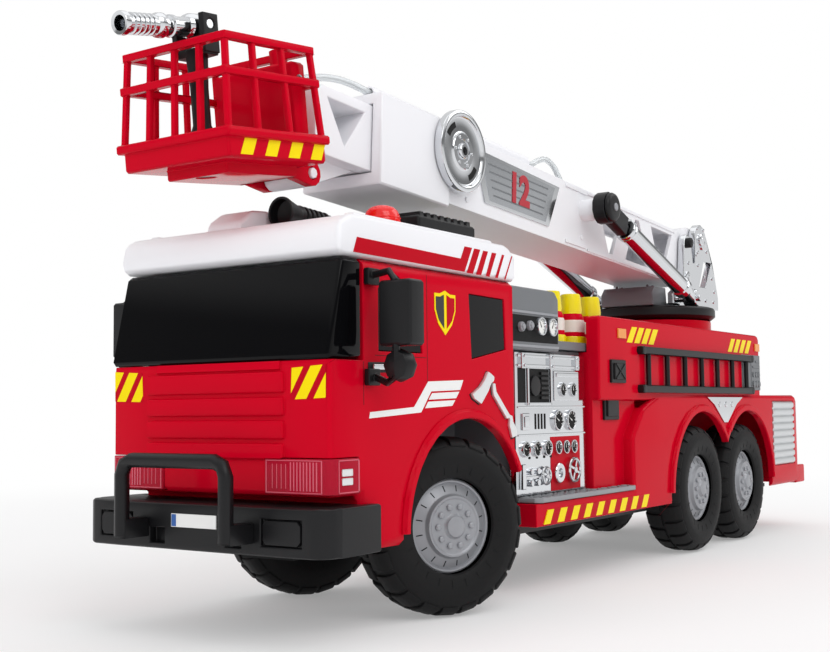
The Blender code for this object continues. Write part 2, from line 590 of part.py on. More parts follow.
def turntable():
    spin = at(TURNTABLE_X, 0, 0)
    radius, under = TURNTABLE_RADIUS, DRUM_TOP + GAP
    disc = [(0, DISC_TOP), (radius - 2, DISC_TOP), (radius, DISC_TOP - 2), (radius, DRUM_TOP + 3),
            (radius - 4, under), (10, under), (10, 138), (0, 138)]
    make("turntable", turned(disc, steps=24), BLACK, frame=spin)
    base_x = (-246, -158)
    cheek = [(base_x[0], DISC_TOP + 2), (base_x[1], DISC_TOP + 2), (base_x[1], 178), (-176, 186)]
    cheek += arc((-187, 217), 6.5, 10, 170, 4) + [(-196, 203), (-200, 203)]
    cheek += arc((BOOM_PIVOT[0], BOOM_PIVOT[2]), 11.5, 20, 150, 5) + [(-240, 196), (base_x[0], 180)]
    cheek = [(x - TURNTABLE_X, z) for x, z in cheek]
    pivot = (BOOM_PIVOT[0] - TURNTABLE_X, 0, BOOM_PIVOT[2])
    foot = (CYLINDER_FOOT[0] - TURNTABLE_X, 0, CYLINDER_FOOT[1])
    add = [prism(cheek, *span(side, BOOM_HALF + 1, BOOM_HALF + 6)) for _, side in SIDES]
    add += [rod(2.6, *span(side, BOOM_HALF + 3, 44), foot, "Y", 8) for _, side in SIDES]
    add.append(rod(4, -BOOM_HALF - 8, BOOM_HALF + 8, pivot, "Y", 10))
    slot = ((-22, 206), (-8, 186), (4, 186), (-6, 206))
    cut = [prism([(pivot[0] + dx, z) for dx, z in slot], -40, 40)]
    low, high = base_x[0] - TURNTABLE_X, base_x[1] - TURNTABLE_X
    plate = prism(sided([(low + 20, 28), (high - 10, 28)]), DISC_TOP + GAP, DISC_TOP + 3.5, "Z")
    make("mast_bracket", plate, CHROME, add, cut, spin)
    step = [(17, DISC_TOP + GAP), (43, DISC_TOP + GAP), (43, 177), (38, 182), (19, 182)]
    levers = [rod(1.2, 181, 184, (x, y, 0), "Z", 5) for x in (24, 33) for y in (-12, 12)]
    make("console", prism(step, -20, 20), GREY, levers, frame=spin)


# Boom: outer box with a lattice, winding wheel, inner boom, hose and lift cylinders

def boom_local(point):
    """A point of the vehicle as (along the boom, above its pivot)."""
    dx, dz = point[0] - BOOM_PIVOT[0], point[-1] - BOOM_PIVOT[2]
    return dx * cos(BOOM_PITCH) + dz * sin(BOOM_PITCH), dz * cos(BOOM_PITCH) - dx * sin(BOOM_PITCH)


def outer_boom(frame):
    outline = [(-13, -12), (-13, 8), (12, 8), (34, BOOM_HIGH), (BOOM_LENGTH, BOOM_HIGH),
               (BOOM_LENGTH, BOOM_LOW), (24, BOOM_LOW)]
    pin_x, pin_z = boom_local(CYLINDER_HEAD)
    add = [box((342, -BOOM_HALF - 2.5, BOOM_LOW - 3), (BOOM_LENGTH + 2, BOOM_HALF + 2.5, BOOM_HIGH + 2.5), 1),
           rod(2.5, 18, BOOM_HALF + 5.8, (WINCH[0], 0, WINCH[1]), "Y", 8)]
    for _, side in SIDES:
        add.append(rod(7, *span(side, BOOM_HALF - 2, 32.4), (pin_x, 0, pin_z), "Y", 10))
        add.append(rod(2.2, *span(side, 30, 43), (pin_x, 0, pin_z), "Y", 6))
        add.append(rod(8.6, *span(side, 41.8, 43.8), (pin_x, 0, pin_z), "Y", 12))
    guide = [(GUIDE_RADIUS, GUIDE_END), (GUIDE_RADIUS, GUIDE_START),
             (GUIDE_BORE, GUIDE_START), (GUIDE_BORE, GUIDE_END)]
    add.append(turned(guide, (0, HOSE_Y, HOSE_Z), "X", 8, ring=True))
    foot_top = HOSE_Z - GUIDE_BORE - 0.4
    add += [box((x, HOSE_Y - 3, BOOM_HIGH - 1), (x + 8, HOSE_Y + 3, foot_top)) for x in (244, 288, 332)]
    cut = [box((20, -BOOM_HALF + WALL, BOOM_LOW + WALL), (420, BOOM_HALF - WALL, BOOM_HIGH - WALL)),
           rod(4.4, -40, 40, axis="Y")]
    low, high, bay = BOOM_LOW + 5, BOOM_HIGH - 5, 42
    for i in range(3):
        start = 40 + i * bay
        up, down = (low, high) if i % 2 else (high, low)
        cut.append(prism([(start, up), (start + bay - 4, up), (start + bay / 2 + 1, down),
                          (start + bay / 2 - 5, down)], -40, 40))
    make("boom_outer", prism(outline, -BOOM_HALF, BOOM_HALF), WHITE, add, cut, frame)


def winding_wheel(frame):
    face = BOOM_HALF + 3.3
    dish = [(0, face + 4.5), (6, face + 4.5), (8, face + 2.8), (16, face + 2.8), (18, face + 4.5),
            (WINCH_RADIUS, face + 4), (WINCH_RADIUS, face), (2.85, face), (2.85, face + 2.8), (0, face + 2.8)]
    turns = [i * pi / 3 for i in range(6)]
    holes = [rod(2, 0, 60, (12 * cos(a), 0, 12 * sin(a)), "Y", 5) for a in turns]
    hub = frame @ at(WINCH[0], 0, WINCH[1])
    make("winding_wheel", turned(dish, axis="Y", steps=18), CHROME, cut=holes, frame=hub)


def inner_boom(frame):
    low, high, half = BOOM_LOW + WALL + 0.8, BOOM_HIGH - WALL - 0.8, BOOM_HALF - WALL - 0.8
    tip_x, tip_z = boom_local(BASKET_HINGE)
    profile = [(222, low), (222, high), (442, high), (446, high - 4), (446, low + 8), (438, low)]
    beam = prism(profile, -half, half)
    nose = [(404, low + 1), (404, high - 1), (424, high - 1), (tip_x - 4, tip_z + 18)]
    nose += arc((tip_x, tip_z), 6, 40, -130, 6)
    window = [(409, high - 5), (438, high - 5), (424, low + 7)]
    make("boom_inner", beam, WHITE, [prism(nose, -10, 10), rod(2.6, -16, 16, (tip_x, 0, tip_z), "Y", 8)],
         [prism(window, -40, 40)], frame)


def hose(frame):
    """The clear water hose. Its front stretch slides in the guide, and its rear one arches into the boom."""
    front = [(274, HOSE_Z), (392, HOSE_Z), (404, HOSE_Z + 0.4), (416, HOSE_Z + 0.2),
             (428, HOSE_Z - 1.6), (440, HOSE_Z - 5)]
    end_x, end_z = boom_local((HOSE_END_X, 0, HOSE_END_Z))
    front.append((end_x, end_z))
    make("hose_front", tube([(x, HOSE_Y, z) for x, z in front], HOSE_RADIUS, 8), HOSE, frame=frame)
    rise = [(-GAP, 0), (-8, 1), (-16, 5), (-26, 8), (-36, 6), (-44, 0), (-48, BOOM_HIGH + 1.4 - HOSE_Z)]
    rear = [(GUIDE_START + dx, HOSE_Z + dz) for dx, dz in rise]
    make("hose_rear", tube([(x, HOSE_Y, z) for x, z in rear], HOSE_RADIUS, 8), HOSE, frame=frame)


def lift_cylinders():
    (foot_x, foot_z), (head_x, head_z) = CYLINDER_FOOT, CYLINDER_HEAD
    length = hypot(head_x - foot_x, head_z - foot_z)
    rise = atan2(head_z - foot_z, head_x - foot_x)
    mouth = length - 30
    for side_name, side in SIDES:
        frame = at(foot_x, side * CYLINDER_Y, foot_z, -rise, "Y")
        barrel = [(0, 34), (4, 34), (4, mouth), (7.4, mouth), (7.4, mouth - 6), (6.4, mouth - 7),
                  (6.4, 16), (5, 12), (5, 4), (0, 4)]
        eye = [rod(6, -5, 5, axis="Y", steps=10)]
        hole = [rod(3, -9, 9, axis="Y", steps=8)]
        make(f"cylinder_barrel_{side_name}", turned(barrel, axis="X", steps=10), CHROME, eye, hole, frame)
        knuckle = turned([(10, 4), (10, -4), (6, -4), (6, 4)], (length, 0, 0), "Y", 12, ring=True)
        block = box((mouth + 2, -3.8, -6.5), (length - 7.5, 3.8, 6.5), 1)
        shaft = rod(3.6, 52, mouth + 6, axis="X", steps=8)
        make(f"cylinder_rod_{side_name}", block, BLACK, [shaft, knuckle], frame=frame)


# Basket: tray with a tapering cage, back box and hinge ears; the monitor turns and tilts in it

def basket(frame):
    low, rim, mid, top = 2, 14.2, 37.4, 52
    rear, front = 9, 74
    tray = box((rear, -31, low), (front - 2, 31, rim - 1), 1.2)
    lip = box((rear - 1, -33.3, rim - 4), (front, 33.3, rim), 0.8)
    add = [lip]
    corners = {
        rim - 2: (rear + 2, front - 3, 30.6),
        mid: (rear + 3, front - 5, 29.6),
        top: (rear + 4, front - 7, 28.6),
    }
    for height in (mid, top):
        back, ahead, half = corners[height]
        thick = 1.7
        low_z, high_z = height - thick, height + thick
        for y in (-half, half):
            add.append(box((back - thick, y - thick, low_z), (ahead + thick, y + thick, high_z)))
        for x in (back, ahead):
            add.append(box((x - thick, -half, low_z), (x + thick, half, high_z)))
    (back0, ahead0, half0), (back1, ahead1, half1) = corners[rim - 2], corners[top]
    for share in (-1, -0.5, 0, 0.5, 1):
        add.append(tube([(ahead0, share * half0, rim - 2), (ahead1, share * half1, top)], 1.8, 4))
    for share in (0, 0.36, 0.7):
        for _, side in SIDES:
            x0, x1 = back0 + share * (ahead0 - back0), back1 + share * (ahead1 - back1)
            add.append(tube([(x0, side * half0, rim - 2), (x1, side * half1, top)], 1.8, 4))
    add.append(box((rear + 1.4, -24, 4), (20, 24, 48), 1.5))
    add.append(rod(4, 46, 55, (14.5, 12, 0), "Z", 8))
    add.append(box((14, -18, -2.5), (60, 18, low + 1), 0.8))
    cut = [
        box((20.5, -28.4, low + 3), (front - 5, 28.4, rim + 1)),
        rod(4.5, -6, 12, (MONITOR_AT, 0, 0), "Z", 10),
    ]
    for _, side in SIDES:
        near, far = span(side, 10.6, 15.2)
        ear = [(16, -2), (16, 8), (-2, 6)] + arc((0, 0), 6, 110, 280, 6)
        add.append(prism(ear, near, far))
        cut.append(rod(3.1, *span(side, 8, 17), axis="Y", steps=8))
    make("basket", tray, RED, add, cut, frame)


def monitor(frame):
    post_frame = frame @ at(MONITOR_AT, 0, 0)
    post = [(0, NOZZLE_HEIGHT - 10), (5, NOZZLE_HEIGHT - 10), (4, 36), (4, 20), (8, 9), (8, 5.4),
            (4, 5.4), (4, -2), (0, -2)]
    forks = []
    for _, side in SIDES:
        near, far = span(side, 6.8, 9.6)
        forks.append(box((-4.5, near, NOZZLE_HEIGHT - 12), (4.5, far, NOZZLE_HEIGHT + 4.5)))
    bridge = box((-4, -9, NOZZLE_HEIGHT - 13), (4, 9, NOZZLE_HEIGHT - 9.5))
    hole = rod(2.4, -20, 20, (0, 0, NOZZLE_HEIGHT), "Y", 8)
    make("monitor_post", turned(post, steps=10), BLACK, forks + [bridge], [hole], post_frame)
    nozzle = [(0, 34), (2.6, 34), (2.6, 43), (5, 43), (4, 37), (4, 24), (5.4, 21), (4.2, 17), (4.2, 6),
              (6, 3), (6, -7), (0, -9)]
    trunnion = rod(2, -9.2, 9.2, axis="Y", steps=8)
    aim = post_frame @ at(0, 0, NOZZLE_HEIGHT, NOZZLE_PITCH, "Y")
    make("monitor_nozzle", turned(nozzle, axis="X", steps=10), CHROME, [trunnion], frame=aim)


boom_frame = at(*BOOM_PIVOT, -BOOM_PITCH, "Y")
basket_frame = at(*BASKET_HINGE, BASKET_PITCH, "Y")
chassis()
running_gear()
cab()
cab_fittings()
front_end()
pump_section()
rear_body()
turntable()
outer_boom(boom_frame)
winding_wheel(boom_frame)
inner_boom(boom_frame)
hose(boom_frame)
lift_cylinders()
basket(basket_frame)
monitor(basket_frame)
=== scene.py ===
import json
from math import cos, hypot, pi, radians, sin

import bmesh
import bpy
from mathutils import Matrix, Vector

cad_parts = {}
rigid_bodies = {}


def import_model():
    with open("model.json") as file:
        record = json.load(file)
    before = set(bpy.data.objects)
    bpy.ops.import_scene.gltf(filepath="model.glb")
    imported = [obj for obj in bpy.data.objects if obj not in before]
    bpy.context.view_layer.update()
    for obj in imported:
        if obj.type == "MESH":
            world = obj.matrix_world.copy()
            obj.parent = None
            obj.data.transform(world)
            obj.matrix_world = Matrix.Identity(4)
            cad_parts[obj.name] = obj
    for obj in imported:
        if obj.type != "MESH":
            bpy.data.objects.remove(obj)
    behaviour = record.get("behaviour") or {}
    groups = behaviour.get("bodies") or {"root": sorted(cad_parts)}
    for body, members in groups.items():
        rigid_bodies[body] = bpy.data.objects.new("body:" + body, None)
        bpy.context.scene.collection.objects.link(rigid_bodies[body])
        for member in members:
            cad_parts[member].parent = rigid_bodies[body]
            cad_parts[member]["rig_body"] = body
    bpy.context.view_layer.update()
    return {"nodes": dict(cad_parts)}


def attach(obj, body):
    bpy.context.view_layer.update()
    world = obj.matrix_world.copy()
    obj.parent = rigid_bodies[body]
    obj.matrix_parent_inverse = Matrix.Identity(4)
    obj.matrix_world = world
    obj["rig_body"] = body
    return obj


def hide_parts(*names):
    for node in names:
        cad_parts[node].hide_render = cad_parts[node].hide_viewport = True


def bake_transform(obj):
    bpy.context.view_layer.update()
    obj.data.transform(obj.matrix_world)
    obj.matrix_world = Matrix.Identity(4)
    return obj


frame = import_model()

# Camera, floor and studio light: a low three-quarter view from the vehicle's front left, on a pale floor
# that runs out to a pale backdrop. Large soft lamps stand in for the softboxes of a product table, and the
# world is an even white room with a dark flag all round, which shows only in reflections.
MM = 0.001
scene = bpy.context.scene
scene.view_settings.view_transform = "Standard"

yaw, pitch, roll = radians(34.67), radians(3.97), radians(-0.62)
ahead = Vector((-cos(yaw) * cos(pitch), -sin(yaw) * cos(pitch), sin(pitch)))
level_right = ahead.cross(Vector((0, 0, 1))).normalized()
level_up = level_right.cross(ahead)
right = cos(roll) * level_right + sin(roll) * level_up
upward = cos(roll) * level_up - sin(roll) * level_right
camera = bpy.data.objects.new("camera", bpy.data.cameras.new("camera"))
camera.data.sensor_width = 36
camera.data.lens = 36 * 1200 / 830
camera.data.clip_start = 0.01
turn = Matrix((right, upward, -ahead)).transposed().to_4x4()
camera.matrix_world = Matrix.Translation((0.656, 0.364, 0.096)) @ turn
scene.collection.objects.link(camera)
scene.camera = camera


def linear(hex_colour):
    """An sRGB hex colour as linear red, green, blue and alpha."""
    channels = [int(hex_colour[i : i + 2], 16) / 255 for i in (0, 2, 4)]
    return (*[c / 12.92 if c <= 0.04045 else ((c + 0.055) / 1.055) ** 2.4 for c in channels], 1.0)


def add_node(tree, kind, settings=None, links=None):
    """Adds a node, sets its properties and sockets, and links its inputs."""
    node = tree.nodes.new("ShaderNode" + kind)
    for name, value in (settings or {}).items():
        if isinstance(name, str) and hasattr(node, name):
            setattr(node, name, value)
        else:
            node.inputs[name].default_value = value
    for name, source in (links or {}).items():
        tree.links.new(source, node.inputs[name])
    return node


# The paper sweep is matt and nearly white, with the faint unevenness of a rolled sheet. To camera and
# reflected rays it glows with at least a 0.28 share of plain white, painted light that lightens the shadow
# under the vehicle, and away from the vehicle it goes over into the plain white of the backdrop.
paper = bpy.data.materials.new("white_paper_sweep")
paper.use_nodes = True
tree = paper.node_tree
place = add_node(tree, "TexCoord").outputs["Object"]
cloud = add_node(tree, "TexNoise", {"Scale": 3.0}, {"Vector": place})
tone = add_node(tree, "Mix", {"data_type": "RGBA", 6: linear("EFEFF0"), 7: linear("F4F4F4")},
                {0: cloud.outputs["Fac"]})
paper_shader = tree.nodes["Principled BSDF"]
tree.links.new(tone.outputs[2], paper_shader.inputs["Base Color"])
paper_shader.inputs["Roughness"].default_value = 0.8
paper_shader.inputs["Specular IOR Level"].default_value = 0.1
glow = add_node(tree, "Emission", {"Color": (1, 1, 1, 1), "Strength": 1.0})
reach = add_node(tree, "VectorMath", {"operation": "LENGTH"}, {0: place})
# The white glow's share never drops below 0.28, so painted light lightens the floor's shadow.
far = add_node(tree, "MapRange", {"interpolation_type": "SMOOTHSTEP", "From Min": 0.3,
                                            "From Max": 1.1, "To Min": 0.28}, {0: reach.outputs["Value"]})
rays = add_node(tree, "LightPath")
mirrored = add_node(tree, "Math", {"operation": "MAXIMUM"},
                    {0: rays.outputs["Is Glossy Ray"], 1: rays.outputs["Is Transmission Ray"]})
seen = add_node(tree, "Math", {"operation": "MAXIMUM"},
                {0: rays.outputs["Is Camera Ray"], 1: mirrored.outputs[0]})
share = add_node(tree, "Math", {"operation": "MULTIPLY"}, {0: far.outputs[0], 1: seen.outputs[0]})
sweep = add_node(tree, "MixShader", {}, {0: share.outputs[0], 1: paper_shader.outputs[0],
                                                   2: glow.outputs[0]})
tree.links.new(sweep.outputs[0], tree.nodes["Material Output"].inputs["Surface"])
shape = bmesh.new()
bmesh.ops.create_grid(shape, x_segments=1, y_segments=1, size=9)
mesh = bpy.data.meshes.new("floor")
shape.to_mesh(mesh)
shape.free()
mesh.materials.append(paper)
floor = bpy.data.objects.new("floor", mesh)
scene.collection.objects.link(floor)

world = bpy.data.worlds.new("studio")
scene.world = world
world.use_nodes = True
sky = world.node_tree
rays = add_node(sky, "LightPath")
seen = add_node(sky, "Math", {"operation": "MAXIMUM"},
                {0: rays.outputs["Is Camera Ray"], 1: rays.outputs["Is Transmission Ray"]})
shown = add_node(sky, "MapRange", {"To Min": 0.78, "To Max": 1.0}, {0: seen.outputs[0]})
toward = add_node(sky, "TexCoord").outputs["Generated"]
height = add_node(sky, "SeparateXYZ", {}, {0: toward}).outputs["Z"]
from_flag = add_node(sky, "Math", {"operation": "SUBTRACT", 1: 0.3}, {0: height})
clear_of_flag = add_node(sky, "Math", {"operation": "ABSOLUTE"}, {0: from_flag.outputs[0]})
flagged = add_node(sky, "MapRange", {"interpolation_type": "SMOOTHSTEP", "From Min": 0.06,
                                               "From Max": 0.16, "To Min": 0.22, "To Max": 0.85},
                   {0: clear_of_flag.outputs[0]})
strength = add_node(sky, "Mix", {"data_type": "FLOAT"},
                    {0: rays.outputs["Is Glossy Ray"], 2: shown.outputs[0], 3: flagged.outputs[0]})
background = sky.nodes["Background"]
background.inputs["Color"].default_value = (1, 1, 1, 1)
sky.links.new(strength.outputs[0], background.inputs["Strength"])

LAMPS = (
    ("key", (0.7, 1.25, 1.35), 1.1, 8.5, (0.02, 0, 0.1)),
    ("front", (1.75, -0.55, 0.95), 1.0, 5.5, (0.1, 0, 0.12)),
    ("back", (-1.1, 0.9, 1.2), 0.9, 4, (-0.1, 0, 0.12)),
    ("top", (0, 0, 1.8), 1.4, 3, (0, 0, 0)),
)
for name, where, size, power, target in LAMPS:
    lamp = bpy.data.lights.new(name, "AREA")
    lamp.size = size
    lamp.energy = power
    holder = bpy.data.objects.new(name, lamp)
    aim = (Vector(target) - Vector(where)).to_track_quat("-Z", "Y")
    holder.matrix_world = Matrix.Translation(where) @ aim.to_matrix().to_4x4()
    holder.visible_glossy = name != "front"
    scene.collection.objects.link(holder)


# Chassis frame and battery cover: black ABS mouldings screwed to the body from below. The mould's
# spark-eroded skin leaves a fine even grain that breaks the gloss.

def moulded(name, colour, roughness, grain_mm, relief=0.05, metallic=0.0, drift=0.1, specular=0.5):
    """A moulded plastic. Its tone drifts a little and its skin has a grain of the given width."""
    material = bpy.data.materials.new(name)
    material.use_nodes = True
    tree = material.node_tree
    shader = tree.nodes["Principled BSDF"]
    where = add_node(tree, "TexCoord").outputs["Object"]
    cloud = add_node(tree, "TexNoise", {"Scale": 1 / (45 * MM), "Detail": 3.0}, {"Vector": where})
    grain = add_node(tree, "TexNoise", {"Scale": 1 / (grain_mm * MM), "Detail": 3.0}, {"Vector": where})
    full = linear(colour)
    dim = (*[c * (1 - drift) for c in full[:3]], 1)
    tone = add_node(tree, "Mix", {"data_type": "RGBA", 6: dim, 7: full}, {0: cloud.outputs["Fac"]})
    gloss = add_node(tree, "MapRange", {"To Min": roughness * 0.85, "To Max": roughness * 1.15},
                     {0: grain.outputs["Fac"]})
    bump = add_node(tree, "Bump", {"Strength": relief, "Distance": 0.1 * MM},
                    {"Height": grain.outputs["Fac"]})
    tree.links.new(tone.outputs[2], shader.inputs["Base Color"])
    tree.links.new(gloss.outputs[0], shader.inputs["Roughness"])
    tree.links.new(bump.outputs[0], shader.inputs["Normal"])
    shader.inputs["Metallic"].default_value = metallic
    shader.inputs["IOR"].default_value = 1.5 if metallic else 1.53
    shader.inputs["Specular IOR Level"].default_value = specular
    return material


def block(low, high, soft=0.0):
    """A block between two corners, with its edges rounded."""
    shape = bmesh.new()
    bmesh.ops.create_cube(shape, size=1)
    low, high = Vector(low), Vector(high)
    bmesh.ops.scale(shape, vec=high - low, verts=shape.verts)
    bmesh.ops.translate(shape, vec=(low + high) / 2, verts=shape.verts)
    return softened(shape, soft)


def softened(shape, soft, segments=2):
    """Rounds every edge of a shape."""
    if soft:
        bmesh.ops.bevel(shape, geom=shape.edges[:], offset=soft, segments=segments, profile=0.5,
                        affect="EDGES", material=-1)
    return shape


def thickened(shape, thick):
    """A flat film given a thickness in w."""
    made = bmesh.ops.extrude_face_region(shape, geom=shape.faces[:])["geom"]
    raised = [part for part in made if isinstance(part, bmesh.types.BMVert)]
    bmesh.ops.translate(shape, vec=(0, 0, thick), verts=raised)
    bmesh.ops.recalc_face_normals(shape, faces=shape.faces)
    return shape


def slab(outline, low, high, soft=0.0):
    """A flat outline of (u, v) points made solid from low to high, in w."""
    shape = bmesh.new()
    shape.faces.new([shape.verts.new((u, v, low)) for u, v in outline])
    return softened(thickened(shape, high - low), soft)


def lathe(profile, steps=40):
    """A turned form about w, from (radius, height) points."""
    shape = bmesh.new()
    points = [shape.verts.new((radius, 0, height)) for radius, height in profile]
    edges = [shape.edges.new(pair) for pair in zip(points, points[1:])]
    bmesh.ops.spin(shape, geom=points + edges, cent=(0, 0, 0), axis=(0, 0, 1), angle=2 * pi, steps=steps,
                   use_merge=True)
    bmesh.ops.remove_doubles(shape, verts=shape.verts, dist=1e-4)
    bmesh.ops.recalc_face_normals(shape, faces=shape.faces)
    return shape


def disc(radius, low, high, soft=0.0, steps=32):
    """A round boss about w with its rim rounded."""
    rim = [(radius, high)] if not soft else [(radius - soft, high), (radius - 0.3 * soft, high - 0.3 * soft),
                                             (radius, high - soft)]
    return lathe([(0, high)] + rim + [(radius, low), (0, low)], steps)


def joined(*shapes):
    """Several shapes as one."""
    whole = bmesh.new()
    mesh = bpy.data.meshes.new("joined")
    for shape in shapes:
        shape.to_mesh(mesh)
        whole.from_mesh(mesh)
        shape.free()
    bpy.data.meshes.remove(mesh)
    return whole


def at(u, v, w=0.0):
    """A shift by u, v and w."""
    return Matrix.Translation((u, v, w))


def about(angle, axis="Z"):
    """A turn about one axis."""
    return Matrix.Rotation(angle, 4, axis)


def moved(shape, place):
    """A shape put in another place. A mirrored one is turned right side out."""
    bmesh.ops.transform(shape, matrix=place, verts=shape.verts)
    if place.determinant() < 0:
        bmesh.ops.reverse_faces(shape, faces=shape.faces)
    return shape


def painted(shape, index):
    """Gives all of a shape's faces one of the piece's materials."""
    for face in shape.faces:
        face.material_index = index
    return shape


def piece(name, shape, materials, body, place=Matrix(), crease=38):
    """A finished piece from a shape in millimetres, on its body. One that bends between two has none yet."""
    moved(shape, Matrix.Scale(MM, 4) @ place)
    mesh = bpy.data.meshes.new(name)
    shape.to_mesh(mesh)
    shape.free()
    for material in materials if isinstance(materials, (list, tuple)) else [materials]:
        mesh.materials.append(material)
    mesh.shade_smooth()
    mesh.set_sharp_from_angle(angle=radians(crease))
    made = bpy.data.objects.new(name, mesh)
    scene.collection.objects.link(made)
    even = made.modifiers.new("even_normals", "WEIGHTED_NORMAL")
    even.keep_sharp = True
    even.weight = 100
    if body:
        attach(made, body)
    return made


def body_of(node):
    """The moving body that a solid belongs to."""
    return frame["nodes"][node]["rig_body"]


def dressed(node, material, soft=0.0, crease=50, sharp_from=55):
    """A solid's own form with its moulded edges rounded and its facets smoothed."""
    shape = bmesh.new()
    shape.from_mesh(frame["nodes"][node].data)
    bmesh.ops.scale(shape, vec=(1 / MM,) * 3, verts=shape.verts)
    bmesh.ops.remove_doubles(shape, verts=shape.verts, dist=0.004)
    bmesh.ops.dissolve_limit(shape, angle_limit=radians(0.6), verts=shape.verts, edges=shape.edges)
    bmesh.ops.triangulate(shape, faces=[face for face in shape.faces if len(face.verts) > 4])
    if soft:
        sharp = [edge for edge in shape.edges if edge.calc_face_angle(0) > radians(sharp_from)]
        bmesh.ops.bevel(shape, geom=sharp, offset=soft, segments=2, profile=0.5, affect="EDGES", material=-1,
                        loop_slide=False)
    made = piece(f"{node}_form", shape, material, body_of(node), crease=crease)
    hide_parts(node)
    return made


black = moulded("black_moulded_abs", "161618", 0.4, 1.2, relief=0.06, specular=0.25)
dressed("chassis_frame", black)
dressed("battery_cover", black, soft=0.3)
SIDES = (("left", 1), ("right", -1))


def screw(radius=2.4):
    """A cross-head screw, sunk a little, about w."""
    head = disc(radius, 0, 0.5, 0.25, 20)
    # The slots are raised dark bars: painted shade, not cut slots.
    slots = [block((-radius * 0.7, -0.28, 0.48), (radius * 0.7, 0.28, 0.62)),
             block((-0.28, -radius * 0.7, 0.48), (0.28, radius * 0.7, 0.62))]
    return joined(head, *[painted(shape, 1) for shape in slots])


# Zinc plate is a soft grey metal. The cross slots are dark bars, painted shade for the dark inside real
# slots; the same dark material also prints the shield's left half.
steel = moulded("zinc_plated_steel", "A5A8AC", 0.32, 0.6, metallic=1.0)
slot_shade_and_dark_print = moulded("screw_slot_shade_and_dark_print", "2A2B2D", 0.6, 0.6)
UNDERSIDE = Matrix.Diagonal((1, -1, -1, 1))
heads = []
for x, y in ((-45, -40), (-45, 40), (100, -40), (100, 40)):
    heads.append(moved(screw(), at(x, y, 30) @ UNDERSIDE))
for x, y, z in ((13, 0, 31), (87, 0, 31), (-300, -34, 31), (-300, 34, 31)):
    heads.append(moved(screw(2), at(x, y, z) @ UNDERSIDE))
piece("chassis_screws", joined(*heads), [steel, slot_shade_and_dark_print], "chassis")


# Wheels: soft black tyres with smooth round shoulders and shallow staggered tread blocks, pressed over
# silver painted rims. The rim is a shallow cone with a ring of slits, a raised nut ring and a domed hub.
# Rubber takes the light dully and silver paint is a soft grey metal. The slits are thin black marks on the
# rim's face, painted shade for the dark of deep openings.
rubber = moulded("matt_tyre_rubber", "171718", 0.6, 1.6, relief=0.08, specular=0.18)
silver = moulded("silver_painted_abs", "9FA1A6", 0.42, 1.0, relief=0.03, metallic=0.35)
dark = moulded("deep_shadow_black", "0C0C0D", 0.6, 0.8, specular=0.2)
ACROSS = about(-pi / 2, "X")
AXLE_HEIGHT = 42 * cos(radians(6))
BLOCKS = 22


def tyre_form():
    """A tyre about Y, with its outer face towards +Y."""
    wall = [(22, 10.6), (22.6, 11.8), (24.4, 12.8), (28, 13.5), (29.2, 13.75), (31.6, 13.75), (32.4, 13.6),
            (35, 13.1), (37.2, 12), (38.8, 10.2), (39.8, 7.6), (40.2, 4), (40.3, 0)]
    mirrored_wall = [(r, -h) for r, h in reversed(wall[:-1])]
    carcass = lathe([(0, 10.6)] + wall + mirrored_wall + [(0, -10.6)], 72)
    bmesh.ops.delete(carcass, geom=[v for v in carcass.verts if v.co.xy.length < 1], context="VERTS")
    lug = [(39.2, 0.7), (41.4, 0.7), (41.35, 5.6), (40.7, 8.8), (39.3, 11.2), (37.5, 12.6), (36.4, 12.2),
           (38, 10), (39, 7)]
    rib = [(24.6, 12.6), (28.2, 13.3), (28.2, 13.65), (24.6, 13.05)]
    shapes = [moved(carcass, ACROSS)]
    for i in range(BLOCKS):
        for side, stagger in ((1, 0.25), (-1, 0.75)):
            around = about(2 * pi * (i + stagger) / BLOCKS, "Y")
            shapes.append(moved(slab([(r, side * h) for r, h in lug], -4.5, 4.5, 0.7), around))
            shapes.append(moved(slab([(r, side * h) for r, h in rib], -0.35, 0.35), around))
    return joined(*shapes)


def rim_form():
    """A rim about Y with nuts and slits, with its outer face towards +Y."""
    face = [(0, 14.5), (3.2, 14.4), (4.7, 13.9), (5.3, 12.8), (6, 12.3), (12.4, 12), (13.2, 12.5), (14, 12.3),
            (14.7, 10.4), (15.2, 9.8), (19.6, 7.7), (20.2, 8.6), (21, 8.8), (21.8, 8.2), (21.9, -11),
            (20.4, -11.3), (17.5, -3.4), (6.4, -3), (3.5, -10.8), (3.4, 0.5), (0, 0.5)]
    shapes = [lathe(face, 64)]
    for i in range(10):
        nut = moved(lathe([(0, 13.5), (0.9, 13.5), (1.4, 13.1), (1.5, 12), (0, 12)], 12), at(9.2, 0, 0))
        shapes.append(moved(nut, about(2 * pi * i / 10)))
    # Each slit is a flat black mark: painted shade standing in for an opening.
    for i in range(16):
        slit = moved(block((-1.5, -0.24, -0.1), (1.5, 0.24, 0.06)), about(radians(25.5), "Y"))
        slit = moved(slit, at(17.5, 0, 8.75))
        shapes.append(painted(moved(slit, about(2 * pi * (i + 0.5) / 16)), 1))
    return moved(joined(*shapes), ACROSS)


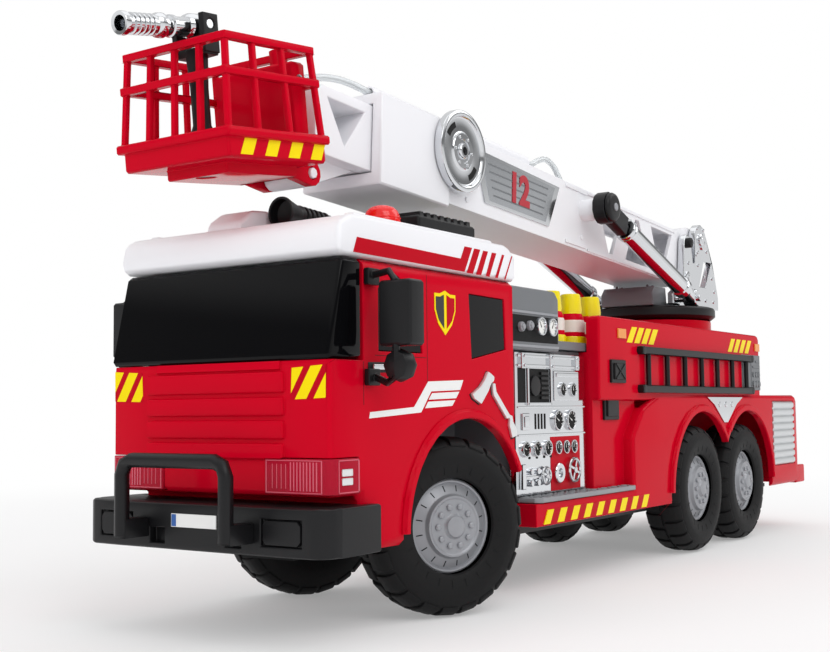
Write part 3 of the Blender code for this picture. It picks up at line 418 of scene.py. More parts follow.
STEER = about(radians(-23))
KINGPIN, TRACK = 30, 50
for row, x in (("front", 173), ("middle", -113), ("rear", -200)):
    for side_name, side in SIDES:
        if row == "front":
            hub = at(x, side * KINGPIN, AXLE_HEIGHT) @ STEER @ at(0, side * (TRACK - KINGPIN))
        else:
            hub = at(x, side * TRACK, AXLE_HEIGHT)
        hub = hub @ about(0 if side > 0 else pi)
        name = f"{row}_{side_name}"
        tyre = piece(f"tyre_{name}_block_tread", tyre_form(), rubber, body_of(f"tyre_{name}"),
                     hub, 30)
        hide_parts(f"tyre_{name}")
        rim = piece(f"rim_{name}_coned", rim_form(), [silver, dark], body_of(f"rim_{name}"),
                    hub, 30)
        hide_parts(f"rim_{name}")

# Axles and steering: plain steel rods, and black knuckles with a tie rod between their arms. They are
# hidden behind the wheels and show from below.
for node in ("middle_axle", "rear_axle"):
    dressed(node, steel, crease=60)
for node in ("steering_knuckle_left", "steering_knuckle_right", "tie_rod"):
    dressed(node, black)


# Cab shell: one red ABS moulding with flared arch lips, a louvred front and pressed-on trim. The polished
# mould gives it a smooth skin, which soft light shows as an even, deep red with a faint gloss.
red = moulded("red_gloss_abs", "CA0422", 0.14, 9.0, relief=0.012, drift=0.05, specular=0.035)
# Vacuum plating mirrors the studio. Printed films are flat colours with a soft gloss.
chrome = moulded("vacuum_plated_chrome", "D9DBDE", 0.1, 3.0, relief=0.03, metallic=1.0, drift=0.04)
bright_plate = moulded("bright_plated_abs", "E6E7E8", 0.3, 3.0, relief=0.03, metallic=0.6, drift=0.03)
white_print = moulded("white_printed_film", "EDEDEC", 0.3, 4.0, relief=0.01, drift=0.03, specular=0.3)
yellow_print = moulded("yellow_printed_film", "F7DE00", 0.3, 4.0, relief=0.01, drift=0.03, specular=0.1)
deep_red = moulded("red_in_shadow_abs", "7A0212", 0.4, 4.0, relief=0.01, specular=0.1)
red_print = moulded("red_printed_film", "BC061E", 0.3, 4.0, relief=0.01, drift=0.03, specular=0.04)
dressed("cab_shell", red, soft=0.4, crease=46)


def on_side(side, y):
    """Takes (u, v, w) to x, z and outwards from one side of the vehicle."""
    return Matrix(((1, 0, 0, 0), (0, 0, side, side * y), (0, 1, 0, 0), (0, 0, 0, 1)))


def on_front(x):
    """Takes (u, v, w) to y, z and forwards."""
    return Matrix(((0, 0, 1, x), (1, 0, 0, 0), (0, 1, 0, 0), (0, 0, 0, 1)))


def arch_lip(centre, inner, outer, start, end, steps=40):
    """A flared lip round a wheel arch, as a rounded section swept about w."""
    shape = bmesh.new()
    section = [(inner, -2.4), (inner, 1.4), (inner + 0.7, 2.2), (outer - 1.4, 2.2), (outer, 0.6),
               (outer, -2.4)]
    points = [shape.verts.new((r, 0, h)) for r, h in section]
    face = shape.faces.new(points)
    bmesh.ops.rotate(shape, cent=(0, 0, 0), matrix=Matrix.Rotation(radians(start), 3, "Z"), verts=points)
    bmesh.ops.spin(shape, geom=[face] + points + face.edges[:], cent=(0, 0, 0), axis=(0, 0, 1),
                   angle=radians(end - start), steps=steps)
    bmesh.ops.recalc_face_normals(shape, faces=shape.faces)
    return moved(shape, at(*centre, 0))


def hatched(outline, pitch, lean, share=0.5, thick=0.12, shift=0.0):
    """A thin sticker cut by slanted lines into bars of two materials, in turn."""
    shape = bmesh.new()
    shape.faces.new([shape.verts.new((u, v, 0)) for u, v in outline])
    across = Vector((1, -lean, 0)).normalized()
    reach = [across.x * u + across.y * v for u, v in outline]
    step = pitch * across.x
    first = int(min(reach) // step) - 1
    count = int((max(reach) - min(reach)) // step) + 4
    for i in range(first, first + count):
        for cut in (i + shift, i + shift + share):
            geometry = shape.verts[:] + shape.edges[:] + shape.faces[:]
            bmesh.ops.bisect_plane(shape, geom=geometry, plane_co=across * cut * step, plane_no=across,
                                   dist=1e-5)
    for face in shape.faces:
        spot = face.calc_center_median().dot(across) / step - shift
        face.material_index = 0 if spot % 1 < share else 1
    return thickened(shape, thick)


STRIPES = (
    [(256.5, 92.4), (255.8, 95), (223.7, 97), (212.5, 108.3), (183.4, 109.3), (186.2, 104.7), (210.2, 103.9),
     (218.3, 94.6)],
    [(209.5, 103.1), (187, 103.9), (189.7, 100.9), (212.3, 100.2)],
    [(212.7, 99.3), (190.5, 100), (193.1, 97.4), (215.2, 96.4)],
)
SHIELD = [(207, 148.5), (202.5, 148.5), (198.3, 150), (194, 148.5), (189.5, 148.5), (189.6, 140.8),
          (192.6, 134.5), (198.2, 129.6), (203.9, 134.5), (206.9, 140.8)]
SHIELD_HALVES = (SHIELD[:3] + SHIELD[7:], SHIELD[2:8])
AXE_HEAD = [(163, 113.7), (160.4, 112.8), (157.4, 111.3), (157.8, 109.2), (160.5, 107.8), (162.9, 104.5),
            (169.6, 98.1), (175.9, 100.7), (177.5, 102.9), (170, 106.5), (166, 109.9)]
AXE_SHAFT = [(158.5, 108), (156.2, 108.2), (155.3, 104.2), (143, 93), (140.2, 92.3), (139.6, 89.5),
             (136.5, 86.3), (135.6, 82.4), (140.6, 81.4), (143.1, 87.4), (142.7, 91.3), (145.5, 90.8),
             (157.7, 102.1), (158.3, 104.2)]


def shrunk(outline, by):
    """An outline drawn in towards its middle."""
    u_mid = sum(u for u, _ in outline) / len(outline)
    v_mid = sum(v for _, v in outline) / len(outline)
    kept = 1 - by / max(abs(u - u_mid) for u, _ in outline)
    return [(u_mid + (u - u_mid) * kept, v_mid + (v - v_mid) * kept) for u, v in outline]


def film(outline):
    """A printed film, just proud of its wall."""
    return slab(outline, 0.02, 0.14)


BODY_WALL = 64
for side_name, side in SIDES:
    wall = on_side(side, BODY_WALL)
    lip = arch_lip((180, AXLE_HEIGHT), 49.7, 54.2, 1, 153)
    piece(f"cab_arch_lip_{side_name}", lip, red, "chassis", wall)
    stripes = joined(*[film(outline) for outline in STRIPES])
    piece(f"cab_side_stripe_{side_name}", stripes, white_print, "chassis", wall)
    fields = [slab(shrunk(half, 1.1), 0.25, 0.42) for half in SHIELD_HALVES]
    badge = joined(slab(SHIELD, 0.02, 0.3, 0.1), painted(fields[0], 1), painted(fields[1], 2))
    piece(f"cab_plain_shield_{side_name}", badge, [yellow_print, slot_shade_and_dark_print, red_print], "chassis",
          wall)
    shadow = [painted(slab(shrunk(outline, -0.7), -0.2, 0.12), 1) for outline in (AXE_HEAD, AXE_SHAFT)]
    axe = joined(slab(AXE_HEAD, -0.2, 1.7, 0.5), slab(AXE_SHAFT, -0.2, 1.4, 0.45), *shadow)
    piece(f"chrome_axe_{side_name}", axe, [bright_plate, dark], "chassis", wall)
    recess = softened(slab([(257, 111.4), (239, 111.8), (239, 116.2), (257, 115.8)], -0.1, 0.35), 0.15, 1)
    lever = slab([(255.2, 112.5), (241.6, 112.9), (241.6, 115.2), (255.2, 115)], 0.5, 2.1, 0.5)
    posts = [block((254, 112.9, 0.2), (254.9, 114.6, 1)), block((242, 113.2, 0.2), (242.9, 114.8, 1))]
    handle = joined(recess, *[painted(shape, 1) for shape in (lever, *posts)])
    piece(f"door_handle_{side_name}", handle, [black, chrome], "chassis", wall)
    seams = joined(block((212.6, 100, -0.05), (213.1, 156, 0.05)),
                   block((259.8, 98, -0.05), (260.3, 116, 0.05)),
                   block((214, 118.6, -0.05), (252, 119, 0.05)))
    piece(f"door_seams_{side_name}", seams, deep_red, "chassis", wall)
    corner = [(43.4, 100.5), (61.6, 101), (61.8, 114.4), (44, 113.4)]
    chevron = hatched([(side * y, z) for y, z in corner], 9.6, 0.62, 0.62, shift=0.26 if side > 0 else 0.18)
    piece(f"front_chevron_{side_name}", chevron, [yellow_print, red_print], "chassis",
          on_front(282.02))

# Windscreen and side glass: one-piece black gloss inserts that stand in for glass, pushed into the cab
# from outside and held by a thin seat all round.
gloss = moulded("black_gloss_glazing", "08080A", 0.05, 9.0, relief=0.006, drift=0.02, specular=0.12)
dressed("windscreen", gloss, soft=0.6, crease=46)
for side_name, _ in SIDES:
    dressed(f"side_glass_{side_name}", gloss, soft=0.25)

# Roof cap: a white ABS lid with rails and a hump, snapped onto the cab. It carries red beacons, a black
# ribbed horn and a black finned vent, and a red printed band along each side.
white = moulded("white_satin_abs", "EEEEF2", 0.34, 7.0, relief=0.01, drift=0.02, specular=0.3)
dressed("cab_roof", white, soft=0.5, crease=46)
BAND = [(264.6, 167.4), (267.2, 160.9), (181.7, 160.1), (174.8, 172.2), (181.4, 172.2), (184.9, 166.1)]
BARS = (
    [(172.8, 172.1), (167.4, 172.1), (174.3, 159.8), (179.8, 159.8)],
    [(164.6, 171.9), (160.2, 171.9), (166.9, 159.8), (171.5, 159.8)],
    [(156.5, 171.8), (152.4, 171.8), (159.2, 159.7), (162.6, 159.7)],
    [(146.9, 171.7), (144.7, 171.7), (151.4, 159.7), (153.8, 159.7)],
    [(137.7, 171.9), (136.7, 171.9), (143.9, 159.6), (145.1, 159.6)],
)
for side_name, side in SIDES:
    films = [film(outline) for outline in (BAND, *BARS)]
    piece(f"roof_band_{side_name}", joined(*films), red_print, "chassis",
          on_side(side, 64.5))

# The lens lets some light in, and a faint red emission is painted light that makes it glow a little from
# within.
red_lens = moulded("red_clear_lens", "D8101C", 0.08, 5.0, relief=0.01, drift=0.05)
lens_shader = red_lens.node_tree.nodes["Principled BSDF"]
lens_shader.inputs["Transmission Weight"].default_value = 0.35
lens_shader.inputs["Emission Color"].default_value = linear("FF2A1A")
lens_shader.inputs["Emission Strength"].default_value = 0.25
for side_name, side in SIDES:
    dome = [(0, 12), (3, 11.8), (5.4, 11), (7.2, 9.4), (8.2, 7), (8.6, 3.2), (9.4, 3), (9.4, 2.4), (0, 2.4)]
    foot = block((-14.6, -9.6, 0), (14.6, 9.6, 2.7), 0.7)
    rings = [lathe([(8.3, h), (8.75, h + 0.35), (8.3, h + 0.7)], 40) for h in (4, 5.6)]
    light = joined(lathe(dome, 40), *rings, painted(foot, 1))
    lamp_piece = piece(f"beacon_{side_name}_lens", light, [red_lens, black], "chassis",
                       at(216, side * 42, 177.3))
    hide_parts(f"beacon_{side_name}")

# The horn is turned, with six rings behind its bell.
horn = [(0, 29), (6, 31), (6.4, 35.6), (7.3, 35.8), (7.4, 35), (6.6, 32.6), (5.4, 28.4), (4.6, 26)]
for i in range(6):
    base = 24.4 - 3.6 * i
    girth = 4.8 - 0.2 * i
    horn += [(girth, base), (girth + 0.15, base - 0.8), (girth, base - 1.6), (girth - 0.9, base - 1.9),
             (girth - 0.9, base - 3.2)]
horn += [(3.1, 1.2), (2.6, 0.1), (0, 0)]
FORWARDS = about(pi / 2, "Y")
stands = [block((x, 7.4, 177.3), (x + 4.4, 12.6, 182.4), 0.5) for x in (217, 234)]
trumpet = moved(lathe(horn, 36), at(214, 10, 185) @ FORWARDS)
horn_piece = piece("air_horn_ribbed", joined(trumpet, *stands), black, "chassis")
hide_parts("air_horn")
dressed("roof_vent", black, soft=0.4)

# Mirrors: black moulded arms on the cab's front corners, each with a tall housing, a round lower mirror
# and silvered faces turned to the rear.
mirror_face = moulded("silvered_mirror", "C9CED4", 0.06, 4.0, relief=0.01, metallic=1.0, drift=0.02)
for side_name, side in SIDES:
    dressed(f"mirror_{side_name}", black, soft=0.5)
    glass = joined(block((249.7, side * 80.3 - 6.4, 125), (250.1, side * 80.3 + 6.4, 146), 0.15),
                   moved(disc(5.2, -0.2, 0.2), at(252.9, side * 80, 114) @ FORWARDS))
    piece(f"mirror_{side_name}_faces", glass, mirror_face, "chassis")

# Headlights: clear polystyrene lenses that wrap the corners over the red shell and take up its colour. Fine
# upright flutes cross the front, and a framed bulb shows at the side. The flutes and the bulb's frame are
# thin pale pink bars, painted highlights where their edges catch the light.
clear = moulded("clear_polystyrene", "D2203C", 0.06, 6.0, relief=0.01, drift=0.02, specular=0.3)
clear_shader = clear.node_tree.nodes["Principled BSDF"]
clear_shader.inputs["Transmission Weight"].default_value = 0.4
clear_shader.inputs["IOR"].default_value = 1.2
# Pale pink for the flute and frame bars: painted highlights.
flute_highlight = moulded("painted_flute_highlights", "D0566A", 0.2, 3.0, relief=0.01, drift=0.02)
BULB_FRAME = ((264.4, 62.6, 265.2, 76), (264.4, 62.6, 278, 63.1), (264.4, 75.5, 278, 76),
              (277.6, 62.6, 278, 76))
for side_name, side in SIDES:
    dressed(f"headlight_{side_name}", clear, soft=0.4)
    lines = [(y, 64.4, y + 0.35, 74.4) for y in (34, 36.4, 38.8, 41.2)]
    lines += [(43.6 + 1.7 * i, 63.6, 44.3 + 1.7 * i, 75.2) for i in range(9)]
    lines += [(30.6, 62.6, 31.1, 76), (31, 62.6, 60.2, 63), (31, 75.6, 60.2, 76), (59.8, 62.6, 60.4, 76)]
    flutes = []
    for y1, z1, y2, z2 in lines:
        low_y, high_y = sorted((side * y1, side * y2))
        flutes.append(block((282.8, low_y, z1), (283.12, high_y, z2), 0.1))
    piece(f"headlight_{side_name}_flutes", joined(*flutes), flute_highlight, "chassis")
    frame_bars = [block((x1, z1, -0.1), (x2, z2, 0.2), 0.1) for x1, z1, x2, z2 in BULB_FRAME]
    bulb = [painted(block((269, z, -0.1), (276, z + 2.9, 0.35), 0.4), 1) for z in (65.8, 69.4)]
    piece(f"headlight_{side_name}_bulb", joined(*frame_bars, *bulb), [flute_highlight, bright_plate], "chassis",
          on_side(side, 64.8))

# Bumper and bull bar: satin black ABS. The bumper has recessed lamp slots and a bare number plate, and
# the bar is a round hoop on two stubs.
dressed("front_bumper", black, soft=0.5)
dressed("bull_bar", black, crease=60)
BUMPER_FACE = on_front(293.5)
blank = joined(slab([(-13, 47.6), (13, 47.6), (13, 53.2), (-13, 53.2)], 0, 0.5, 0.15),
               painted(slab([(-12.7, 47.9), (-10, 47.9), (-10, 52.9), (-12.7, 52.9)], 0.45, 0.56), 1))
blue_print = moulded("blue_printed_film", "2F5FA8", 0.3, 2.0, relief=0.02)
piece("blank_number_plate", blank, [white_print, blue_print], "chassis", BUMPER_FACE)
FOG_LENS = ((39.4, 42.6), (55.6, 42.6), (57.4, 44.4), (57.4, 50.6), (55.6, 52.4), (39.4, 52.4), (37.6, 50.6),
            (37.6, 44.4))
fogs = [slab([(side * u, v) for u, v in FOG_LENS], -2, -0.35, 0.5) for _, side in SIDES]
piece("fog_lamp_covers", joined(*fogs), black, "chassis", BUMPER_FACE)

# Pump section: a grey housing with a gauge box, chrome plated panels full of dials and valves, chequered
# running boards and the rack of banded bottles. Grained grey ABS spreads the light and hardly shines.
grey = moulded("grey_satin_abs", "6E7175", 0.42, 1.0, relief=0.08)
board_grey = moulded("light_grey_abs", "94969A", 0.45, 1.0, relief=0.05, specular=0.3)
dial_white = moulded("white_dial_print", "F0F0EC", 0.35, 2.0, relief=0.01)
dressed("pump_housing", grey, soft=0.4, crease=46)


def dial(radius, depth, face, needle, turn_deg):
    """A round gauge about w: bezel, printed face, needle and tick marks."""
    bezel = lathe([(0, depth * 0.6), (radius * 0.8, depth * 0.6), (radius * 0.86, depth),
                   (radius * 0.97, depth), (radius, depth * 0.8), (radius, 0), (0, 0)], 28)
    plate = painted(disc(radius * 0.8, depth * 0.6, depth * 0.66, steps=28), face)
    hand = slab([(-0.1 * radius, -0.06 * radius), (0.62 * radius, 0), (-0.1 * radius, 0.06 * radius)],
                depth * 0.67, depth * 0.74)
    marks = []
    for i in range(9):
        tick = block((radius * 0.62, -radius * 0.035, depth * 0.66),
                     (radius * 0.76, radius * 0.035, depth * 0.71))
        marks.append(painted(moved(tick, about(radians(-30 + 30 * i))), needle))
    hand = painted(moved(hand, about(radians(turn_deg))), needle)
    return joined(bezel, plate, hand, *marks)


def handwheel(radius, depth):
    """A valve wheel about w: a round rim on spokes and a hub."""
    turns = [2 * pi * k / 8 for k in range(9)]
    rim = lathe([(radius + 0.9 * cos(a), depth + 0.9 * sin(a)) for a in turns], 32)
    spokes = [moved(block((0, -0.7, depth - 0.7), (radius, 0.7, depth + 0.4), 0.2),
                    about(2 * pi * i / 4 + 0.4)) for i in range(4)]
    return joined(rim, disc(radius * 0.3, 0, depth + 1, 0.4, 20), *spokes)


# The panel's blocks: left, bottom, right and top, back and front, the rounding and the material.
PANEL_BLOCKS = [
    (38.4, 50.6, 117.8, 125.4, 0, 4, 0.6, 0), (46, 117.6, 116, 119, 3.6, 5, 0.3, 0),
    (46, 122.6, 116, 124, 3.6, 5, 0.3, 0), (80, 97.4, 105.8, 99, 3.6, 5.2, 0.3, 0),
    (79, 97.4, 81, 117, 3.6, 5.2, 0.3, 0), (104.6, 97.4, 106.4, 117, 3.6, 5.2, 0.3, 0),
    (81.4, 99, 104.4, 116.8, 3.7, 4.15, 0, 2), (107, 98.8, 115, 117, 3.7, 4.15, 0, 2),
    (48.6, 99.8, 77.4, 116.2, 3.6, 5.4, 0.6, 0), (50.4, 112.6, 75.8, 115, 5, 6.2, 0.4, 0),
    (40, 96, 116, 97, 3.6, 4.6, 0.25, 0), (40, 81.4, 116, 82.4, 3.6, 4.6, 0.25, 0),
    (104, 84.4, 112, 93.4, 3.7, 4.9, 0.5, 0), (105.6, 86, 110.4, 91.8, 4.6, 5.5, 0.4, 0),
    (46.6, 51.4, 81, 80.4, 3.7, 4.25, 0.2, 4), (110.6, 54, 114.4, 67, 3.6, 6, 0.5, 0),
    (96, 59.2, 109, 60.6, 3.6, 5, 0.3, 0),
]
PANEL_BLOCKS += [(u, 116.6, u + 5, 125, 3.6, 5.6, 0.4, 0) for u in (47, 77, 108)]
PANEL_BLOCKS += [(83, 100.6 + 2.6 * i, 91.6, 102.2 + 2.6 * i, 4, 5.2, 0.3, 3) for i in range(6)]
PANEL_BLOCKS += [(86 + 3.4 * i, 84.8, 87.4 + 3.4 * i, 93, 3.8, 4.3, 0.15, 2) for i in range(4)]
# Its dials: radius, depth, the needle's angle, and the place.
PANEL_DIALS = [(4, 1.5, 80, u, 106, 5) for u in (56.4, 68.6)]
PANEL_DIALS += [(5.8, 1.9, 30, u, 89.2, 3.8) for u in (57.5, 72.6)]
PANEL_DIALS += [(4.3, 1.7, 20 + 30 * i, 108.6 - 11.8 * i, 74.6, 3.8) for i in range(3)]
PANEL_DIALS += [(3.7, 1.9, 100, u, 74.6, 4) for u in (74, 65, 55.8)]
for side_name, side in SIDES:
    box_wall = on_side(side, 57)
    gauges = [moved(dial(4.9, 2.7, 1, 2, 60), at(97.3, 139)), moved(dial(4.9, 2.7, 1, 2, 120), at(85, 139))]
    for u, v, radius in ((117, 138, 2.6), (108, 139, 2.6)):
        knob = lathe([(0, 2.9), (radius * 0.5, 2.9), (radius * 0.6, 2.4), (radius * 0.85, 2.2), (radius, 1.6),
                      (radius, 0), (0, 0)], 24)
        gauges.append(painted(moved(knob, at(u, v)), 3))
    trim = painted(block((76, 145.2, -0.2), (132, 146.6, 0.7), 0.3), 3)
    tape = painted(block((75.2, 127.6, -0.2), (133, 129, 0.5), 0.2), 3)
    field = painted(block((76, 130.4, -0.2), (132.6, 144.2, 0.25), 0.1), 2)
    piece(f"gauge_box_dials_{side_name}", joined(*gauges, trim, tape, field),
          [chrome, dial_white, dark, silver], "chassis", box_wall)

    shapes = []
    for u1, v1, u2, v2, back, front, soft, index in PANEL_BLOCKS:
        shapes.append(painted(block((u1, v1, back), (u2, v2, front), soft), index))
    for radius, depth, turn_deg, u, v, w in PANEL_DIALS:
        shapes.append(moved(dial(radius, depth, 2, 1, turn_deg), at(u, v, w)))
    for u in (49.5, 79.5, 110.5):
        shapes += [moved(disc(0.9, 5.4, 6.3, 0.2, 16), at(u, v)) for v in (118.4, 123.2)]
    shapes += [painted(moved(disc(5.4, 4, 5.4, 0.5, 28), at(98, 107.6)), 3)]
    ring = lathe([(0, 4.3), (2.6, 4.3), (2.6, 6.2), (5, 6.2), (5.4, 5.8), (5.4, 4), (0, 4)], 28)
    shapes += [moved(ring, at(73.4, 60.8)), moved(handwheel(6.2, 2.2), at(57, 61.8, 4))]
    shapes += [moved(handwheel(4.2, 1.8), at(88.6, 60, 3.8))]
    for u, v in ((99, 63), (99, 57), (106, 63), (106, 57)):
        shapes.append(moved(lathe([(0, 7), (1.6, 7), (1.8, 6.4), (1.8, 4), (0, 4)], 20), at(u, v)))
    shapes += [painted(moved(disc(0.7, 3.8, 4.4, steps=12), at(u, 70)), 2) for u in (80.6, 88, 96, 104)]
    panel = piece(f"pump_panel_{side_name}_fitted", joined(*shapes),
                  [chrome, dial_white, dark, black, red_print], "chassis", on_side(side, 50))
    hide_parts(f"pump_panel_{side_name}")

    dressed(f"running_board_{side_name}", board_grey, soft=0.3)
    treads = []
    for i in range(17):
        for j, row in enumerate((53.2, 56.6, 60, 63)):
            if i < 6 and j < 2:
                continue
            lug = softened(slab([(-1.9, -0.5), (1.9, -0.5), (1.9, 0.5), (-1.9, 0.5)], 0, 0.45), 0.18, 1)
            lean = 0.7 if (i + j) % 2 else -0.7
            treads.append(moved(lug, at(2.5 + 6.6 * i, side * row, 50) @ about(lean)))
    piece(f"running_board_{side_name}_chequer", joined(*treads), board_grey, "chassis")
    sill = hatched([(108, 36.2), (-20, 36.2), (-24.5, 43.4), (103.5, 43.4)], 15.15, -0.62, 0.5, thick=0.5,
                   shift=0.16)
    piece(f"sill_hazard_{side_name}", sill, [yellow_print, red_print], "chassis",
          on_side(side, 63.68))

# The bottles are glossy yellow, with red rings and a milky band that lets no light through.
bottle_yellow = moulded("yellow_gloss_abs", "F4E000", 0.25, 3.0, relief=0.02, drift=0.05)
milk = moulded("milky_clear_band", "EADFD6", 0.2, 3.0, relief=0.02)
rack = [painted(block((-17.4, -53.2, 128), (73.2, 53.2, 132.8), 0.7), 3)]
for x in (54, 29, 4):
    for _, side in SIDES:
        stack = (
            (0, [(0, 137), (8.2, 137), (8.6, 136.4), (8.6, 131.6), (0, 131.6)]),
            (1, [(0, 139.6), (8, 139.6), (8.2, 137), (0, 137)]),
            (2, [(0, 146.6), (7.6, 146.6), (8, 145.6), (8, 139.6), (0, 139.6)]),
            (1, [(0, 150.4), (6.4, 150.4), (7.4, 148.4), (7.6, 146.6), (0, 146.6)]),
            (0, [(0, 162), (5.2, 162), (5.7, 161.4), (6.6, 152.6), (6.4, 150.4), (0, 150.4)]),
        )
        for index, profile in stack:
            rack.append(painted(moved(lathe(profile, 32), at(x, side * 41, 0)), index))
rack_piece = piece("bottle_rack_banded", joined(*rack), [bottle_yellow, red, milk, grey], "chassis")
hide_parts("bottle_rack")

# Rear body: the large red moulding behind the pump, with twin arch lips, hazard bars, latches, side
# ladders, silver shutters and small plates clipped on.
dressed("rear_body", red, soft=0.5, crease=46)
# Silver paint on the slats is pale and soft, and the marker lenses are flat orange.
slat_silver = moulded("silver_shutter_abs", "CFD2D4", 0.3, 3.0, relief=0.03, metallic=0.6, drift=0.03)
orange = moulded("orange_marker_lens", "F0963C", 0.15, 3.0, relief=0.02)
for side_name, side in SIDES:
    wall, deck, below_deck = [on_side(side, y) for y in (BODY_WALL, 62, 57)]
    lips = [arch_lip((x, 40), 52.3, 57.2, start, end) for x, start, end in ((-113, 2, 134), (-200, 46, 178))]
    for index, lip in enumerate(lips):
        piece(f"rear_arch_lip_{index + 1}_{side_name}", lip, red, "chassis", wall)
    bars = []
    for start in (-9.5, -20, -30.5, -41, -178.5, -190, -201.5, -213):
        bars.append(film([(start, 144), (start - 7.4, 144), (start + 0.4, 134.4), (start + 7.8, 134.4)]))
    piece(f"deck_hazard_bars_{side_name}", joined(*bars), yellow_print, "chassis", deck)
    marks = [block((0.4, 136.4, -0.2), (11.2, 142.2, 1), 0.4),
             block((-236, 136.4, -0.2), (-226.6, 142.2, 1), 0.4)]
    piece(f"deck_side_markers_{side_name}", joined(*marks), orange, "chassis", deck)
    latches = []
    for low, high in ((110, 123.6), (88.6, 102.4)):
        latches += [block((3, low, -0.2), (22.6, high, 1.6), 0.6),
                    block((5.6, low + 2, 1.2), (20, high - 2, 2.6), 0.6)]
        ribs = [moved(block((-7.6, -0.5, 2.4), (7.6, 0.5, 3.1), 0.2),
                      at(12.8, (low + high) / 2) @ about(a)) for a in (0.62, -0.62)]
        latches += ribs if low > 100 else []
    piece(f"deck_latch_upper_{side_name}", joined(*latches[:4]), black, "chassis", deck)
    piece(f"deck_latch_lower_{side_name}", joined(*latches[4:]), black, "chassis", below_deck)
    gear = [block((-236.4, 107.4, -0.2), (-217.5, 133.4, 0.6), 0.3),
            block((-218, 107.4, -0.2), (-198, 133.4, 0.25), 0.1)]
    for u in (-221.5, -227, -232.5):
        gear.append(moved(disc(2.4, 0.4, 1.6, 0.4, 20), at(u, 112)))
        gear.append(moved(disc(2, 0.4, 1.4, 0.4, 20), at(u, 119)))
    gear += [block((-234.6, 124, 0.4), (-220, 125.4, 1.2), 0.2),
             block((-234.6, 128, 0.4), (-226, 129.6, 1.2), 0.2)]
    piece(f"deck_gear_plate_{side_name}", joined(*gear), grey, "chassis", deck)
    web = [(-122, 102.2), (-191, 102.2), (-178, 97), (-160, 84.6), (-153, 84.6), (-135, 97)]
    plate = [slab(web, 0.02, 0.9, 0.3)]
    plate += [moved(disc(2, 0.7, 1.5, 0.5, 20), at(u, 97)) for u in (-144.5, -156.5, -168.5)]
    piece(f"arch_web_plate_{side_name}", joined(*plate), chrome, "chassis", wall)
    dressed(f"shutter_{side_name}", slat_silver, crease=30)
    dressed(f"side_ladder_{side_name}", black, soft=0.5, crease=60)
    ends = [moved(disc(2.6, -0.6, 4.2, 0.5, 20), at(u, v)) for u in (-211.6, -18.4) for v in (106.9, 130.2)]
    piece(f"side_ladder_{side_name}_feet", joined(*ends), black, "chassis", deck)
lamps = []
for _, side in SIDES:
    low_y, high_y = sorted((side * 44, side * 58))
    lamps.append(block((-319.2, low_y, 58), (-317.6, high_y, 70), 0.5))
# The tail lamps take the same lens, with its glow of painted light.
piece("tail_lamps", joined(*lamps), red_lens, "chassis")

# Turntable: a black disc on the red drum, with a chrome plated mast bracket and a grey console. The bracket
# is a riveted plate on each side of the boom, with a chrome pivot cap and a black stud.
table = [(0, 168), (44, 168), (45.6, 167.4), (46.5, 166), (46.5, 161.4), (45.4, 160.4), (42.6, 158.4),
         (10, 158.3), (10, 138.2), (0, 138.2)]
disc_piece = piece("turntable_disc", lathe(table, 72), black, "turntable", at(-181, 0, 0))
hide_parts("turntable")
dressed("mast_bracket", chrome, soft=0.5, crease=40)
dressed("console", grey, soft=0.6)
for side_name, side in SIDES:
    mast = on_side(side, 28)
    rivets = []
    for u, v in ((-218, 230), (-206, 230), (-224, 214), (-234, 194), (-206, 212), (-206, 202), (-238, 184),
                 (-236, 176), (-220, 176), (-204, 176), (-186, 175), (-170, 175), (-187, 202), (-203, 209.8),
                 (-217, 194.7)):
        rivets.append(moved(disc(1.3, -0.1, 0.8, 0.4, 16), at(u, v)))
    rings = [moved(lathe([(0, 1.4), (3.4, 1.4), (4, 1), (4, -0.1), (0, -0.1)], 24), at(-216, 218)),
             moved(lathe([(0, 1.1), (4.4, 1.1), (5, 0.7), (5, -0.1), (0, -0.1)], 28), at(-184.4, 190.5))]
    # The flat dark disc is painted shade standing in for a hole in the plate.
    bosses = [painted(moved(disc(3.2, -0.1, 0.15, steps=24), at(-198.4, 180.2)), 1),
              moved(disc(2.2, 1, 1.8, 0.4, steps=20), at(-184.4, 190.5))]
    piece(f"mast_rivets_{side_name}", joined(*rivets, *rings, *bosses), [chrome, dark], "turntable",
          mast)
    knob = lathe([(0, 2.6), (1.6, 2.6), (2.2, 1.8), (3.8, 1.8), (4.6, 1.2), (4.8, 0.3), (4.8, -0.1),
                  (0, -0.1)], 32)
    piece(f"mast_pivot_cap_{side_name}", knob, chrome, "turntable", mast @ at(-212, 222))
    stud = lathe([(0, 3.6), (2.2, 3.6), (3.4, 3), (3.8, 2), (3.8, -0.1), (0, -0.1)], 28)
    piece(f"mast_front_stud_{side_name}", stud, black, "turntable", mast @ at(-187, 217))

# Boom: a white box moulding with an open lattice, carrying a chrome winding wheel, a printed number plate
# and a hose guide. The inner boom slides in it.
BOOM = at(-212, 0, 222) @ about(radians(-3.5), "Y")
dressed("boom_outer", white, soft=0.4, crease=40)
dressed("boom_inner", white, soft=0.6, crease=40)
